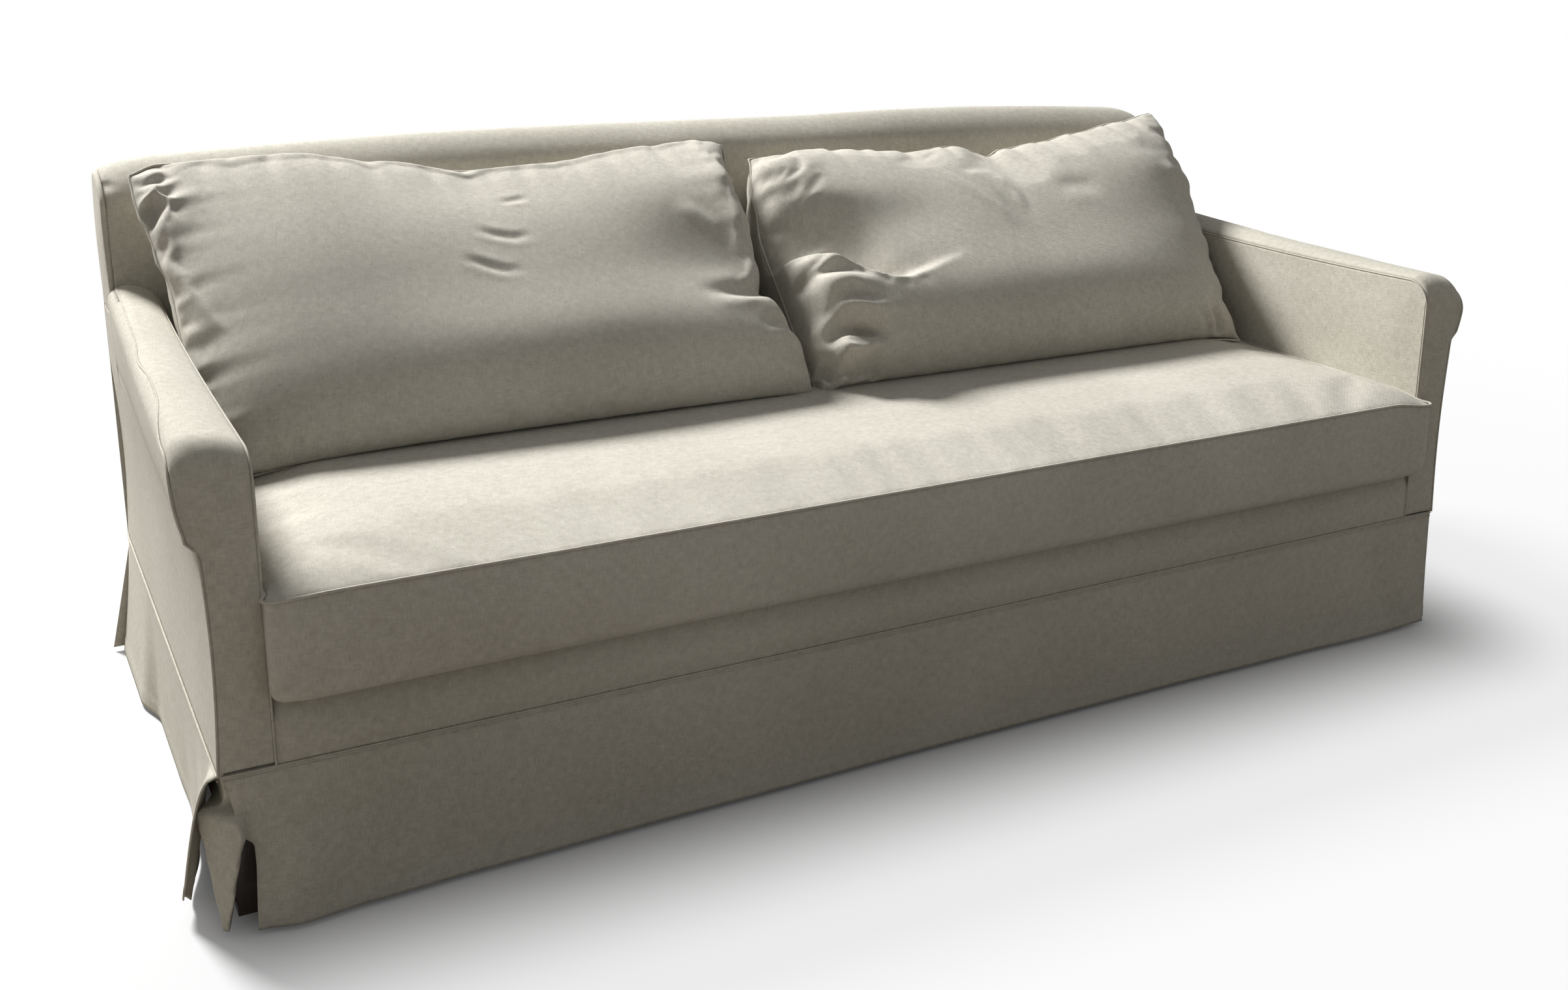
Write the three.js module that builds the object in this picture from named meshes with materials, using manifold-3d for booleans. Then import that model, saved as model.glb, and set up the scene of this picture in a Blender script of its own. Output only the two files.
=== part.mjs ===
// A three-seat camelback sofa in a skirted linen slipcover: a hardwood frame on six feet, sinuous seat
// springs, padded back, arms and deck, a bench seat cushion and two loose back cushions.
// X runs along the sofa, Y from its front to its back, and Z up from the floor. Sizes are in millimetres.
import * as THREE from "three";
import { mergeVertices } from "three/addons/utils/BufferGeometryUtils.js";
import Module from "manifold-3d";

const wasm = await Module();
wasm.setup();

// Overall sizes of the upholstered body
const BODY_WIDTH = 2184;
const BODY_DEPTH = 985;
const SEAM_HEIGHT = 225;
const HEM_HEIGHT = 8;

// Gaps: between pieces that touch, beside a loose cushion, and past a face that a cut goes through
const FIT = 0.3;
const EASE = 2;
const OVERRUN = 6;
const WELD = 1e-4;

// Hardwood frame
const WOOD = 28;
const LEG_HEIGHT = 120;
const LEG_TOP = 56;
const LEG_FOOT = 44;
const RAIL_HEIGHT = 165;
const STRETCHER_HEIGHT = 110;
const STRETCHER_WIDTH = 70;
const BLOCK_SIDE = 110;
const BLOCK_HEIGHT = 60;
const ARM_POST_DEPTH = 60;
const ARM_RAIL_HEIGHT = 50;
const BACK_RAIL_HEIGHT = 90;
const LOWER_RAIL_HEIGHT = 60;
const UPRIGHT_WIDTH = 70;
const TENON_LENGTH = 18;
const TENON_THICKNESS = 10;
const TENON_HEIGHT = 60;
const SHOULDER = 15;

// Seat springs and deck
const SPRING_COUNT = 6;
const SPRING_WIRE = 4;
const SPRING_SWING = 24;
const SPRING_TURNS = 9;
const SPRING_STEPS = 6;
const DECK_PAD = 40;

// Padding and outer panels
const FRONT_PAD = 30;
const BORDER_EDGE = 10;
const ARM_PAD = 35;
const OUTER_PANEL = 8;
const BACK_PANEL = 8;
const BACK_PAD = 40;
const BACK_SHEET = 3;
const DUST_SHEET = 1.5;

// The back: its thickness at the seat and at the top, its camel arch and its rounded crest
const BACK_AT_SEAT = 190;
const BACK_AT_TOP = 115;
const CREST_END_HEIGHT = 897;
const CAMEL_RISE = 35;
const CREST_PAD = 52;
const CREST_SHOULDER = 90;
const SHOULDER_DROP = 20;
const ARCH_STEPS = 22;
const CREST_STEPS = 10;

// The arms: a padded band runs along the top and down the front, and rolls outwards
const ARM_FRONT_HEIGHT = 664;
const ARM_INNER_RISE = 18;
const ARM_OUTER_LIFT = 12;
const ARM_OUTER_RISE = 26;
const BAND_PAD = 36;
const BAND_EDGE = 8;
const BAND_CROWN = 5;
const ROLL_OUT_FRONT = 25;
const ROLL_OUT_BACK = 5;
const ROLL_RADIUS = 28;
const ROLL_HEIGHT = 122;
const ROLL_LIP = 2;
const ARM_STEPS = 12;

// Skirt and the folded inserts behind its corner slits
const CLOTH = 3;
const SKIRT_FLARE = 12;
const SKIRT_WAVE = 5;
const SIDE_SKIRT_WAVE = 14;
const SLIT = 4;
const PLEAT_WIDTH = 110;
const PLEAT_LIFT = 14;
const SKIRT_STEPS = 26;

// Seat cushion
const CUSHION_PROUD = 36;
const CUSHION_BOXING = 133;
const CUSHION_CROWN = 28;
const CUSHION_CORNER = 14;
const CUSHION_BASE_EDGE = 12;
const CUSHION_DRAW_IN = 6;
const CORE_WALL = 22;
const ZIP_SLOT = 5;

// Back cushions: they slump, so they lean far back and swell most towards the seat and the back
const PILLOW_GAP = 14;
const PILLOW_HEIGHT = 585;
const PILLOW_FRONT_SWELL = 95;
const PILLOW_BACK_SWELL = 180;
const PILLOW_WALL = 25;
const PILLOW_LEAN = 45;
const PILLOW_PINCH = 16;
const PILLOW_SINK = 15;
const PILLOW_FOOT = 400;
const PILLOW_COLUMNS = 14;
const PILLOW_ROWS = 10;

// Shares of the sizes that they follow, and the powers that set how round a curve is
const INNER_RISE_POWER = 2.5;
const OUTER_RISE_POWER = 1.7;
const CREST_FLANK_POWER = 0.55;
const CREST_TOP_POWER = 0.7;
const PILLOW_EDGE_POWER = 4;
const zipShare = 0.7;
const slumpShare = 0.22;
const bandCrownShares = [0.25, 0.5, 0.75];
const bandNeckShares = [0.35, 0.65, 0.9];
const cushionSideShares = [0.2, 0.4, 0.6, 0.8];
const crownShares = [[0, 0.06], [0.05, 0.36], [0.16, 0.66], [0.34, 0.88], [0.6, 0.98]];

// The skirt's folds as turns along the panel and their share of the wave, and where its fall bends
const skirtFoldShares = [[1, 0.5], [2.3, 0.3], [5.1, 0.2]];
const skirtBendShares = { height: 0.45, reach: 0.35 };

// Planes and lines that the pieces share
const skirtReach = SKIRT_FLARE + SKIRT_WAVE;
const backY = (CUSHION_PROUD + BODY_DEPTH + skirtReach) / 2 - skirtReach;
const frontY = backY - BODY_DEPTH;
const outerX = BODY_WIDTH / 2;
const woodOuterX = outerX - OUTER_PANEL - FIT;
const woodInnerX = woodOuterX - WOOD;
const innerX = woodInnerX - FIT - ARM_PAD;
const woodFrontY = frontY + FRONT_PAD + FIT;
const woodBackY = backY - BACK_PANEL - FIT;
const railBottom = LEG_HEIGHT + FIT;
const railTop = railBottom + RAIL_HEIGHT;
const springZ = railTop + FIT + SPRING_WIRE / 2;
const deckBottom = springZ + SPRING_WIRE / 2 + FIT;
const deckTop = deckBottom + DECK_PAD;
const armPostBackY = woodFrontY + ARM_POST_DEPTH;
const kneeY = backY - BACK_AT_SEAT + BACK_PAD + FIT;
const crestSeatEnd = CREST_END_HEIGHT - CREST_PAD;
const rakeSlope = (BACK_AT_SEAT - BACK_AT_TOP) / (crestSeatEnd - deckTop);
const cushionBottom = deckTop + FIT;

const MATERIALS = {
  linen: new THREE.MeshStandardMaterial({ color: 0xb9b3a2, roughness: 0.95, metalness: 0 }),
  cushion_linen: new THREE.MeshStandardMaterial({ color: 0xbab5a6, roughness: 0.95, metalness: 0 }),
  lining: new THREE.MeshStandardMaterial({ color: 0xa8a294, roughness: 0.95, metalness: 0 }),
  hardwood: new THREE.MeshStandardMaterial({ color: 0xb08a5a, roughness: 0.7, metalness: 0 }),
  dark_wood: new THREE.MeshStandardMaterial({ color: 0x2e231b, roughness: 0.5, metalness: 0 }),
  spring_steel: new THREE.MeshStandardMaterial({ color: 0x6d6f72, roughness: 0.4, metalness: 0.9 }),
  foam: new THREE.MeshStandardMaterial({ color: 0xe6dcb8, roughness: 0.9, metalness: 0 }),
  down_fill: new THREE.MeshStandardMaterial({ color: 0xece8df, roughness: 0.95, metalness: 0 }),
  black_cloth: new THREE.MeshStandardMaterial({ color: 0x1d1d1e, roughness: 0.95, metalness: 0 }),
};

const sofa = new THREE.Group();

function place(name, material, geometry) {
  const mesh = new THREE.Mesh(geometry, MATERIALS[material]);
  mesh.name = name;
  sofa.add(mesh);
  return mesh;
}

// Geometry helpers
function boxGeometry([x0, x1], [y0, y1], [z0, z1]) {
  const box = new THREE.BoxGeometry(x1 - x0, y1 - y0, z1 - z0);
  return box.translate((x0 + x1) / 2, (y0 + y1) / 2, (z0 + z1) / 2);
}

function outline(points) {
  return new THREE.Shape(points.map(([a, b]) => new THREE.Vector2(a, b)));
}

// A slab with its outline in X and Z, from a front plane to a back plane.
function slabAlongY(points, y0, y1) {
  const slab = new THREE.ExtrudeGeometry(outline(points), { depth: y1 - y0, bevelEnabled: false });
  const turn = new THREE.Matrix4().makeBasis(
    new THREE.Vector3(1, 0, 0), new THREE.Vector3(0, 0, 1), new THREE.Vector3(0, -1, 0));
  return slab.applyMatrix4(turn).translate(0, y1, 0);
}

// A slab with its outline in Y and Z, from x0 to x1.
function slabAlongX(points, x0, x1) {
  const slab = new THREE.ExtrudeGeometry(outline(points), { depth: x1 - x0, bevelEnabled: false });
  const turn = new THREE.Matrix4().makeBasis(
    new THREE.Vector3(0, 1, 0), new THREE.Vector3(0, 0, 1), new THREE.Vector3(1, 0, 0));
  return slab.applyMatrix4(turn).translate(x0, 0, 0);
}

// A slab with its outline in X and Y, from z0 to z1.
function slabAlongZ(points, z0, z1) {
  const slab = new THREE.ExtrudeGeometry(outline(points), { depth: z1 - z0, bevelEnabled: false });
  return slab.translate(0, 0, z0);
}

// Leans a vertical back piece backwards above the deck, about the deck's top.
function rake(geometry) {
  const shift = -rakeSlope * deckTop;
  return geometry.applyMatrix4(new THREE.Matrix4().set(
    1, 0, 0, 0,
    0, 1, rakeSlope, shift,
    0, 0, 1, 0,
    0, 0, 0, 1));
}

function signedVolume(points, faces) {
  return faces.reduce((sum, [a, b, c]) =>
    sum + points[a].dot(new THREE.Vector3().crossVectors(points[b], points[c])), 0) / 6;
}

// A closed geometry from points and triangles, turned to face outwards.
function closedGeometry(points, faces) {
  const outward = signedVolume(points, faces) < 0 ? faces.map(([a, b, c]) => [a, c, b]) : faces;
  const geometry = new THREE.BufferGeometry().setFromPoints(points);
  geometry.setIndex(outward.flat());
  return geometry;
}

// A closed solid through rings of points, with flat caps that are filled in the plane that flat() gives.
function loft(rings, flat) {
  const count = rings[0].length;
  const faces = [];
  for (let r = 0; r + 1 < rings.length; r++) {
    for (let i = 0; i < count; i++) {
      const [a, b] = [r * count + i, r * count + (i + 1) % count];
      faces.push([a, b, b + count], [a, b + count, a + count]);
    }
  }
  const lastStart = (rings.length - 1) * count;
  for (const [ring, start, last] of [[rings[0], 0, false], [rings[rings.length - 1], lastStart, true]]) {
    for (const [a, b, c] of capFaces(ring.map(flat))) {
      faces.push(last ? [start + a, start + b, start + c] : [start + a, start + c, start + b]);
    }
  }
  return closedGeometry(rings.flat(), faces);
}

// Fills a cap in the same turning sense as its ring of points.
function capFaces(flatPoints) {
  const faces = THREE.ShapeUtils.triangulateShape(flatPoints, []);
  const turn = ([a, b, c]) => (flatPoints[b].x - flatPoints[a].x) * (flatPoints[c].y - flatPoints[a].y)
    - (flatPoints[b].y - flatPoints[a].y) * (flatPoints[c].x - flatPoints[a].x);
  const sense = Math.sign(THREE.ShapeUtils.area(flatPoints));
  return faces.map((face) => (turn(face) * sense < 0 ? [face[0], face[2], face[1]] : face));
}

function solidOf(geometry) {
  const bare = geometry.clone();
  bare.deleteAttribute("normal");
  bare.deleteAttribute("uv");
  const merged = mergeVertices(bare, WELD);
  return new wasm.Manifold(new wasm.Mesh({
    numProp: 3,
    vertProperties: merged.attributes.position.array,
    triVerts: new Uint32Array(merged.index.array),
  }));
}

function geometryOf(solid) {
  const mesh = solid.getMesh();
  const geometry = new THREE.BufferGeometry();
  geometry.setAttribute("position", new THREE.BufferAttribute(new Float32Array(mesh.vertProperties), 3));
  geometry.setIndex(new THREE.BufferAttribute(new Uint32Array(mesh.triVerts), 1));
  return geometry;
}

function join(first, ...others) {
  return geometryOf(others.reduce((all, one) => all.add(solidOf(one)), solidOf(first)));
}

function cut(first, ...others) {
  return geometryOf(others.reduce((all, one) => all.subtract(solidOf(one)), solidOf(first)));
}

const grown = (range, gap) => [range[0] - gap, range[1] + gap];
const mirrored = ([x0, x1], side) => (side < 0 ? [-x1, -x0] : [x0, x1]);
const steps = (count) => Array.from({ length: count + 1 }, (_, i) => i / count);
const between = (a, b, share) => a + (b - a) * share;

// Lines of the back: its front face, the arch that its crest sits on, and the crest's top
const backFace = (z) => backY - BACK_AT_SEAT + rakeSlope * (z - deckTop);
const crestSeat = (x) => crestSeatEnd + CAMEL_RISE * (1 - (x / outerX) ** 2);

function crestTop(x) {
  const intoShoulder = Math.max(0, (Math.abs(x) - outerX + CREST_SHOULDER) / CREST_SHOULDER);
  return crestSeat(x) + CREST_PAD - SHOULDER_DROP * (1 - Math.sqrt(1 - Math.min(1, intoShoulder) ** 2));
}

// Lines of the arm, front to back
const armEndY = backFace(ARM_FRONT_HEIGHT + ARM_INNER_RISE);
const alongArm = (y) => Math.min(1, Math.max(0, (y - frontY) / (armEndY - frontY)));
const innerTop = (y) => ARM_FRONT_HEIGHT + ARM_INNER_RISE * alongArm(y) ** INNER_RISE_POWER;
const outerTop = (y) => ARM_FRONT_HEIGHT + ARM_OUTER_LIFT + ARM_OUTER_RISE * alongArm(y) ** OUTER_RISE_POWER;
const bandBottom = (y) => innerTop(y) - BAND_PAD;
const rollOut = (y) => between(ROLL_OUT_FRONT, ROLL_OUT_BACK, alongArm(y));
const wingBottom = bandBottom(armEndY);

// Tenon bars: each runs through a rail and into the posts at its ends
const railTenonUpper = [railTop - SHOULDER - TENON_HEIGHT, railTop - SHOULDER];
const railTenonLower = [railBottom + SHOULDER, railBottom + SHOULDER + TENON_HEIGHT];
const centred = (a, b, width) => [(a + b - width) / 2, (a + b + width) / 2];
const sideTenonX = centred(woodInnerX, woodOuterX, TENON_THICKNESS);
const tenonReachX = woodInnerX - FIT + TENON_LENGTH;

const crossRails = {
  front_rail: [woodFrontY, woodFrontY + WOOD],
  back_rail: [kneeY, kneeY + WOOD],
  rear_rail: [woodBackY - WOOD, woodBackY],
};

function tenonBar([y0, y1], heights) {
  return [[-tenonReachX, tenonReachX], centred(y0, y1, TENON_THICKNESS), heights];
}

function grownBar(bar) {
  return boxGeometry(...bar.map((range) => grown(range, FIT)));
}

function makeCrossRails() {
  for (const [name, depth] of Object.entries(crossRails)) {
    const board = boxGeometry([-woodInnerX + FIT, woodInnerX - FIT], depth, [railBottom, railTop]);
    place(name, "hardwood", join(board, boxGeometry(...tenonBar(depth, railTenonUpper))));
  }
}

function sideTenonBar(side) {
  const reach = [armPostBackY - TENON_LENGTH, kneeY + TENON_LENGTH];
  return [mirrored(sideTenonX, side), reach, railTenonLower];
}

function makeSideRail(name, side) {
  const wide = mirrored([woodInnerX, woodOuterX], side);
  const board = boxGeometry(wide, [armPostBackY + FIT, kneeY - FIT], [railBottom, railTop]);
  place(name, "hardwood", join(board, boxGeometry(...sideTenonBar(side))));
}

function makeStretcher() {
  const wide = centred(0, 0, STRETCHER_WIDTH);
  const depth = [woodFrontY + WOOD + FIT, kneeY - FIT];
  const heights = [railBottom, railBottom + STRETCHER_HEIGHT];
  place("seat_stretcher", "hardwood", boxGeometry(wide, depth, heights));
}

// A triangular glue block in the corner of a cross rail and a side rail
function makeCornerBlock(name, side, railFaceY, towards) {
  const corner = woodInnerX - FIT;
  const start = railFaceY + towards * FIT;
  const points = [[side * corner, start], [side * (corner - BLOCK_SIDE), start],
    [side * corner, start + towards * BLOCK_SIDE]];
  place(name, "hardwood", slabAlongZ(points, railBottom, railBottom + BLOCK_HEIGHT));
}

const lowerRailHeights = [deckTop + FIT, deckTop + FIT + LOWER_RAIL_HEIGHT];
const lowerRailDepth = [kneeY + BACK_SHEET + FIT, kneeY + BACK_SHEET + FIT + WOOD];
const lowerTenonHeights = [lowerRailHeights[0] + SHOULDER, lowerRailHeights[1] - SHOULDER];
const lowerRailBar = tenonBar(lowerRailDepth, lowerTenonHeights);

function makeBackPost(name, side) {
  const top = crestSeatEnd - FIT;
  const points = [[kneeY, railBottom], [woodBackY, railBottom], [woodBackY, top],
    [backFace(top) + BACK_PAD + FIT, top], [kneeY, deckTop]];
  const post = slabAlongX(points, ...mirrored([woodInnerX, woodOuterX], side));
  const mortises = [
    grownBar(tenonBar(crossRails.back_rail, railTenonUpper)),
    grownBar(tenonBar(crossRails.rear_rail, railTenonUpper)),
    grownBar(sideTenonBar(side)),
    rake(grownBar(lowerRailBar)),
  ];
  place(name, "hardwood", cut(post, ...mortises));
}

function archedBoard(halfWidth, top, bottom) {
  const across = steps(ARCH_STEPS).map((share) => between(-halfWidth, halfWidth, share));
  return [...across.map((x) => [x, bottom(x)]), ...across.reverse().map((x) => [x, top(x)])];
}

function makeBackRails() {
  const half = woodInnerX - FIT;
  const under = (x) => crestSeat(x) - FIT;
  const arch = archedBoard(half, under, (x) => under(x) - BACK_RAIL_HEIGHT);
  place("back_top_rail", "hardwood", rake(slabAlongY(arch, ...lowerRailDepth)));
  const lower = boxGeometry([-half, half], lowerRailDepth, lowerRailHeights);
  place("back_lower_rail", "hardwood", rake(join(lower, boxGeometry(...lowerRailBar))));
  const wide = centred(0, 0, UPRIGHT_WIDTH);
  const uprightTop = under(wide[1]) - BACK_RAIL_HEIGHT - FIT;
  const heights = [lowerRailHeights[1] + FIT, uprightTop];
  place("back_upright", "hardwood", rake(boxGeometry(wide, lowerRailDepth, heights)));
}

function makeArmPost(name, side) {
  const wide = mirrored([woodInnerX, woodOuterX], side);
  const post = boxGeometry(wide, [woodFrontY, armPostBackY], [railBottom, bandBottom(woodFrontY) - FIT]);
  const mortise = grownBar(tenonBar(crossRails.front_rail, railTenonUpper));
  place(name, "hardwood", cut(post, mortise, grownBar(sideTenonBar(side))));
}

function makeArmRail(name, side) {
  const along = steps(ARM_STEPS).map((share) => between(armPostBackY + FIT, armEndY, share));
  const top = (y) => bandBottom(y) - FIT;
  const endTop = top(armEndY);
  const postLine = (z) => backFace(z) + BACK_PAD;
  const points = [...along.map((y) => [y, top(y) - ARM_RAIL_HEIGHT]), [postLine(endTop - ARM_RAIL_HEIGHT),
    endTop - ARM_RAIL_HEIGHT], [postLine(endTop), endTop], ...along.reverse().map((y) => [y, top(y)])];
  place(name, "hardwood", slabAlongX(points, ...mirrored([woodInnerX, woodOuterX], side)));
}

// A square foot that tapers to the floor, with its top under the frame
function makeLeg(name, centreX, centreY) {
  const across = Math.SQRT1_2;
  const leg = new THREE.CylinderGeometry(LEG_TOP * across, LEG_FOOT * across, LEG_HEIGHT, 4);
  leg.rotateY(Math.PI / 4).rotateX(Math.PI / 2).translate(centreX, centreY, LEG_HEIGHT / 2);
  place(name, "dark_wood", leg);
}

const legX = woodOuterX - LEG_TOP / 2;
const frontLegY = woodFrontY + LEG_TOP / 2;
const backLegY = woodBackY - LEG_TOP / 2;
const legPlaces = {
  leg_front_left: [-legX, frontLegY],
  leg_front_right: [legX, frontLegY],
  leg_front_centre: [0, frontLegY],
  leg_back_left: [-legX, backLegY],
  leg_back_right: [legX, backLegY],
  leg_back_centre: [0, backLegY],
};

function makeSprings() {
  const start = crossRails.front_rail[0] + WOOD / 2;
  const end = crossRails.back_rail[1] - WOOD / 2;
  const share = 2 * innerX / SPRING_COUNT;
  for (let n = 0; n < SPRING_COUNT; n++) {
    const centreX = -innerX + share * (n + 0.5);
    const points = steps(SPRING_TURNS * SPRING_STEPS).map((t) => new THREE.Vector3(
      centreX + SPRING_SWING * Math.sin(2 * Math.PI * SPRING_TURNS * t), between(start, end, t), springZ));
    const rings = points.map((point, i) => {
      const before = points[Math.max(0, i - 1)];
      const after = points[Math.min(points.length - 1, i + 1)];
      const sideways = new THREE.Vector3(after.y - before.y, before.x - after.x, 0);
      sideways.setLength(SPRING_WIRE / 2);
      const upwards = new THREE.Vector3(0, 0, SPRING_WIRE / 2);
      return [[1, 0], [0, 1], [-1, 0], [0, -1]].map(([a, b]) =>
        point.clone().addScaledVector(sideways, a).addScaledVector(upwards, b));
    });
    place(`seat_spring_${n + 1}`, "spring_steel", loft(rings, (p) => new THREE.Vector2(p.x, p.z)));
  }
}

function makeDeck() {
  const depth = [woodFrontY, backFace(deckBottom) - FIT];
  place("seat_deck", "lining", boxGeometry([-innerX + FIT, innerX - FIT], depth, [deckBottom, deckTop]));
}

function makeFrontBorder() {
  const centre = [frontY + BORDER_EDGE, deckTop - BORDER_EDGE];
  const round = steps(4).map((share) => Math.PI * (1 - share / 2)).map((angle) =>
    [centre[0] + BORDER_EDGE * Math.cos(angle), centre[1] + BORDER_EDGE * Math.sin(angle)]);
  const points = [[frontY, SEAM_HEIGHT], [frontY + FRONT_PAD, SEAM_HEIGHT], [frontY + FRONT_PAD, deckTop],
    ...round.reverse()];
  place("front_border", "linen", slabAlongX(points, -innerX + FIT, innerX - FIT));
}

// The thin cloth under the frame, notched round the feet
function makeDustSheet() {
  const notch = LEG_TOP + FIT;
  const half = LEG_TOP / 2 + FIT;
  const [x1, y0, y1] = [woodOuterX, woodFrontY, woodBackY];
  const [x2, y2, y3] = [x1 - notch, y0 + notch, y1 - notch];
  const points = [
    [-half, y0], [-half, y2], [half, y2], [half, y0],
    [x2, y0], [x2, y2], [x1, y2], [x1, y3], [x2, y3], [x2, y1],
    [half, y1], [half, y3], [-half, y3], [-half, y1],
    [-x2, y1], [-x2, y3], [-x1, y3], [-x1, y2], [-x2, y2], [-x2, y0],
  ];
  place("dust_sheet", "black_cloth", slabAlongZ(points, LEG_HEIGHT - DUST_SHEET, LEG_HEIGHT));
}

function makeBackUpholstery() {
  const front = backY - BACK_AT_SEAT;
  const under = (x) => crestSeat(x) - FIT;
  const [narrow, wide] = [woodInnerX - FIT, woodOuterX];
  const across = steps(ARCH_STEPS).map((share) => between(wide, -wide, share));
  const pad = [[-narrow, deckBottom], [narrow, deckBottom], [narrow, wingBottom], [wide, wingBottom],
    ...across.map((x) => [x, under(x)]), [-wide, wingBottom], [-narrow, wingBottom]];
  place("back_front_pad", "linen", rake(slabAlongY(pad, front, front + BACK_PAD)));
  const sheet = archedBoard(narrow, under, () => deckTop + FIT);
  place("back_support_sheet", "lining", rake(slabAlongY(sheet, kneeY, kneeY + BACK_SHEET)));
  const panel = archedBoard(outerX, under, () => SEAM_HEIGHT);
  place("back_outer_panel", "linen", slabAlongY(panel, backY - BACK_PANEL, backY));
  for (const [name, side] of [["back_end_panel_left", -1], ["back_end_panel_right", 1]]) {
    const [bottom, top] = [wingBottom, under(outerX)];
    const end = [[backFace(bottom), bottom], [woodBackY, bottom], [woodBackY, top], [backFace(top), top]];
    place(name, "linen", slabAlongX(end, ...mirrored([woodOuterX + FIT, outerX], side)));
  }
}

// The padded crest: a soft D section that follows the camel arch
function makeCrest() {
  const rings = steps(ARCH_STEPS * 2).map((share) => {
    const x = between(-outerX, outerX, share);
    const [bottom, top] = [crestSeat(x), crestTop(x)];
    const frontEdge = backFace(crestSeatEnd);
    const middle = (frontEdge + backY) / 2;
    const half = (backY - frontEdge) / 2;
    return steps(CREST_STEPS).map((turn) => {
      const [across, up] = [Math.cos(Math.PI * turn), Math.sin(Math.PI * turn)];
      const out = Math.sign(across) * Math.abs(across) ** CREST_FLANK_POWER;
      return new THREE.Vector3(x, middle + half * out, bottom + (top - bottom) * up ** CREST_TOP_POWER);
    });
  });
  place("back_crest_pad", "linen", loft(rings, (p) => new THREE.Vector2(p.y, p.z)));
}

// One ring of the arm band: the inner edge, the crowned top, the outward roll and the line down to its foot
function bandRing(side, y, drop, footZ, outerFoot, endLine) {
  const [inner, outer] = [innerTop(y) - drop, outerTop(y) - drop];
  const roll = outerX + rollOut(y);
  const neck = outerTop(y) - ROLL_HEIGHT;
  const [rollX, rollZ] = [roll - ROLL_RADIUS, outer - ROLL_RADIUS];
  const crown = bandCrownShares.map((share) => [
    between(innerX + BAND_EDGE, rollX, share),
    between(inner, outer, share) + BAND_CROWN * Math.sin(Math.PI * share)]);
  const shoulder = steps(4).map((share) => Math.PI / 2 * (1 - share)).map((angle) => [
    rollX + ROLL_RADIUS * Math.cos(angle), rollZ + ROLL_RADIUS * Math.sin(angle)]);
  const tuck = bandNeckShares.map((share) => [
    between(outerX + ROLL_LIP, roll, Math.sqrt(1 - share ** 2)), between(rollZ, neck, share)]);
  const points = [[innerX, footZ], [innerX, inner - BAND_EDGE], [innerX + BAND_EDGE, inner], ...crown,
    ...shoulder, ...tuck, [outerX + ROLL_LIP, neck], [outerFoot, neck], [outerFoot, footZ]];
  return points.map(([x, z]) => new THREE.Vector3(side * x, endLine ? endLine(z) : y, z));
}

function makeArmBand(name, side) {
  const flat = (p) => new THREE.Vector2(p.x, p.z);
  const radius = FRONT_PAD - EASE;
  const frontRings = steps(4).map((share) => {
    const angle = Math.PI / 2 * share;
    const y = frontY + radius * (1 - Math.cos(angle));
    return bandRing(side, y, radius * (1 - Math.sin(angle)), SEAM_HEIGHT, outerX);
  });
  frontRings.push(bandRing(side, frontY + FRONT_PAD, 0, SEAM_HEIGHT, outerX));
  const start = frontY + FRONT_PAD - EASE;
  const topRings = steps(ARM_STEPS).map((share) => {
    const y = between(start, armEndY, share);
    const endLine = share === 1 ? (z) => backFace(z) - FIT : null;
    return bandRing(side, y, 0, bandBottom(y), outerX + FIT, endLine);
  });
  place(name, "linen", join(loft(frontRings, flat), loft(topRings, flat)));
}

function makeArmPanels(leftOrRight, side) {
  const start = frontY + FRONT_PAD + FIT;
  const along = steps(ARM_STEPS).map((share) => between(armEndY, start, share));
  const top = (y) => bandBottom(y) - FIT;
  const endTop = top(armEndY);
  const faceLine = (z) => backFace(z) - FIT;
  const foot = railTop + FIT;
  const inner = [[start, foot], [faceLine(foot), foot], [faceLine(endTop), endTop],
    ...along.filter((y) => y < faceLine(endTop)).map((y) => [y, top(y)])];
  const innerWide = mirrored([innerX, woodInnerX - FIT], side);
  place(`arm_inner_pad_${leftOrRight}`, "linen", slabAlongX(inner, ...innerWide));
  const outer = [[start, SEAM_HEIGHT], [woodBackY, SEAM_HEIGHT], [woodBackY, endTop],
    ...along.map((y) => [y, top(y)])];
  const outerWide = mirrored([woodOuterX + FIT, outerX], side);
  place(`arm_outer_panel_${leftOrRight}`, "linen", slabAlongX(outer, ...outerWide));
}

// How far a skirt's folds stand out along its hem, from 0 at the deepest fold to 1 at the fullest one
function foldSum(share) {
  const folds = skirtFoldShares.map(([turns, part]) => part * Math.sin(2 * Math.PI * turns * share));
  return folds.reduce((sum, fold) => sum + fold, 0);
}

const foldSums = steps(SKIRT_STEPS).map(foldSum);
const [deepest, fullest] = [Math.min(...foldSums), Math.max(...foldSums)];
const foldOut = (share) => (foldSum(share) - deepest) / (fullest - deepest);

// A hanging skirt panel: start and end lie on the seam line, and out is the way that it faces.
function makeSkirt(name, wave, start, end, out) {
  const heights = [SEAM_HEIGHT - FIT, between(SEAM_HEIGHT, HEM_HEIGHT, skirtBendShares.height), HEM_HEIGHT];
  const rings = steps(SKIRT_STEPS).map((share) => {
    const foot = new THREE.Vector3().lerpVectors(start, end, share);
    const hem = SKIRT_FLARE + wave * foldOut(share);
    const reach = [0, skirtBendShares.reach * hem, hem];
    const face = heights.map((z, i) => foot.clone().addScaledVector(out, reach[i]).setZ(z));
    const lining = heights.map((z, i) => foot.clone().addScaledVector(out, reach[i] - CLOTH).setZ(z));
    return [...face, ...lining.reverse()];
  });
  place(name, "linen", loft(rings, (p) => new THREE.Vector2(p.x * out.x + p.y * out.y, p.z)));
}

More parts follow.
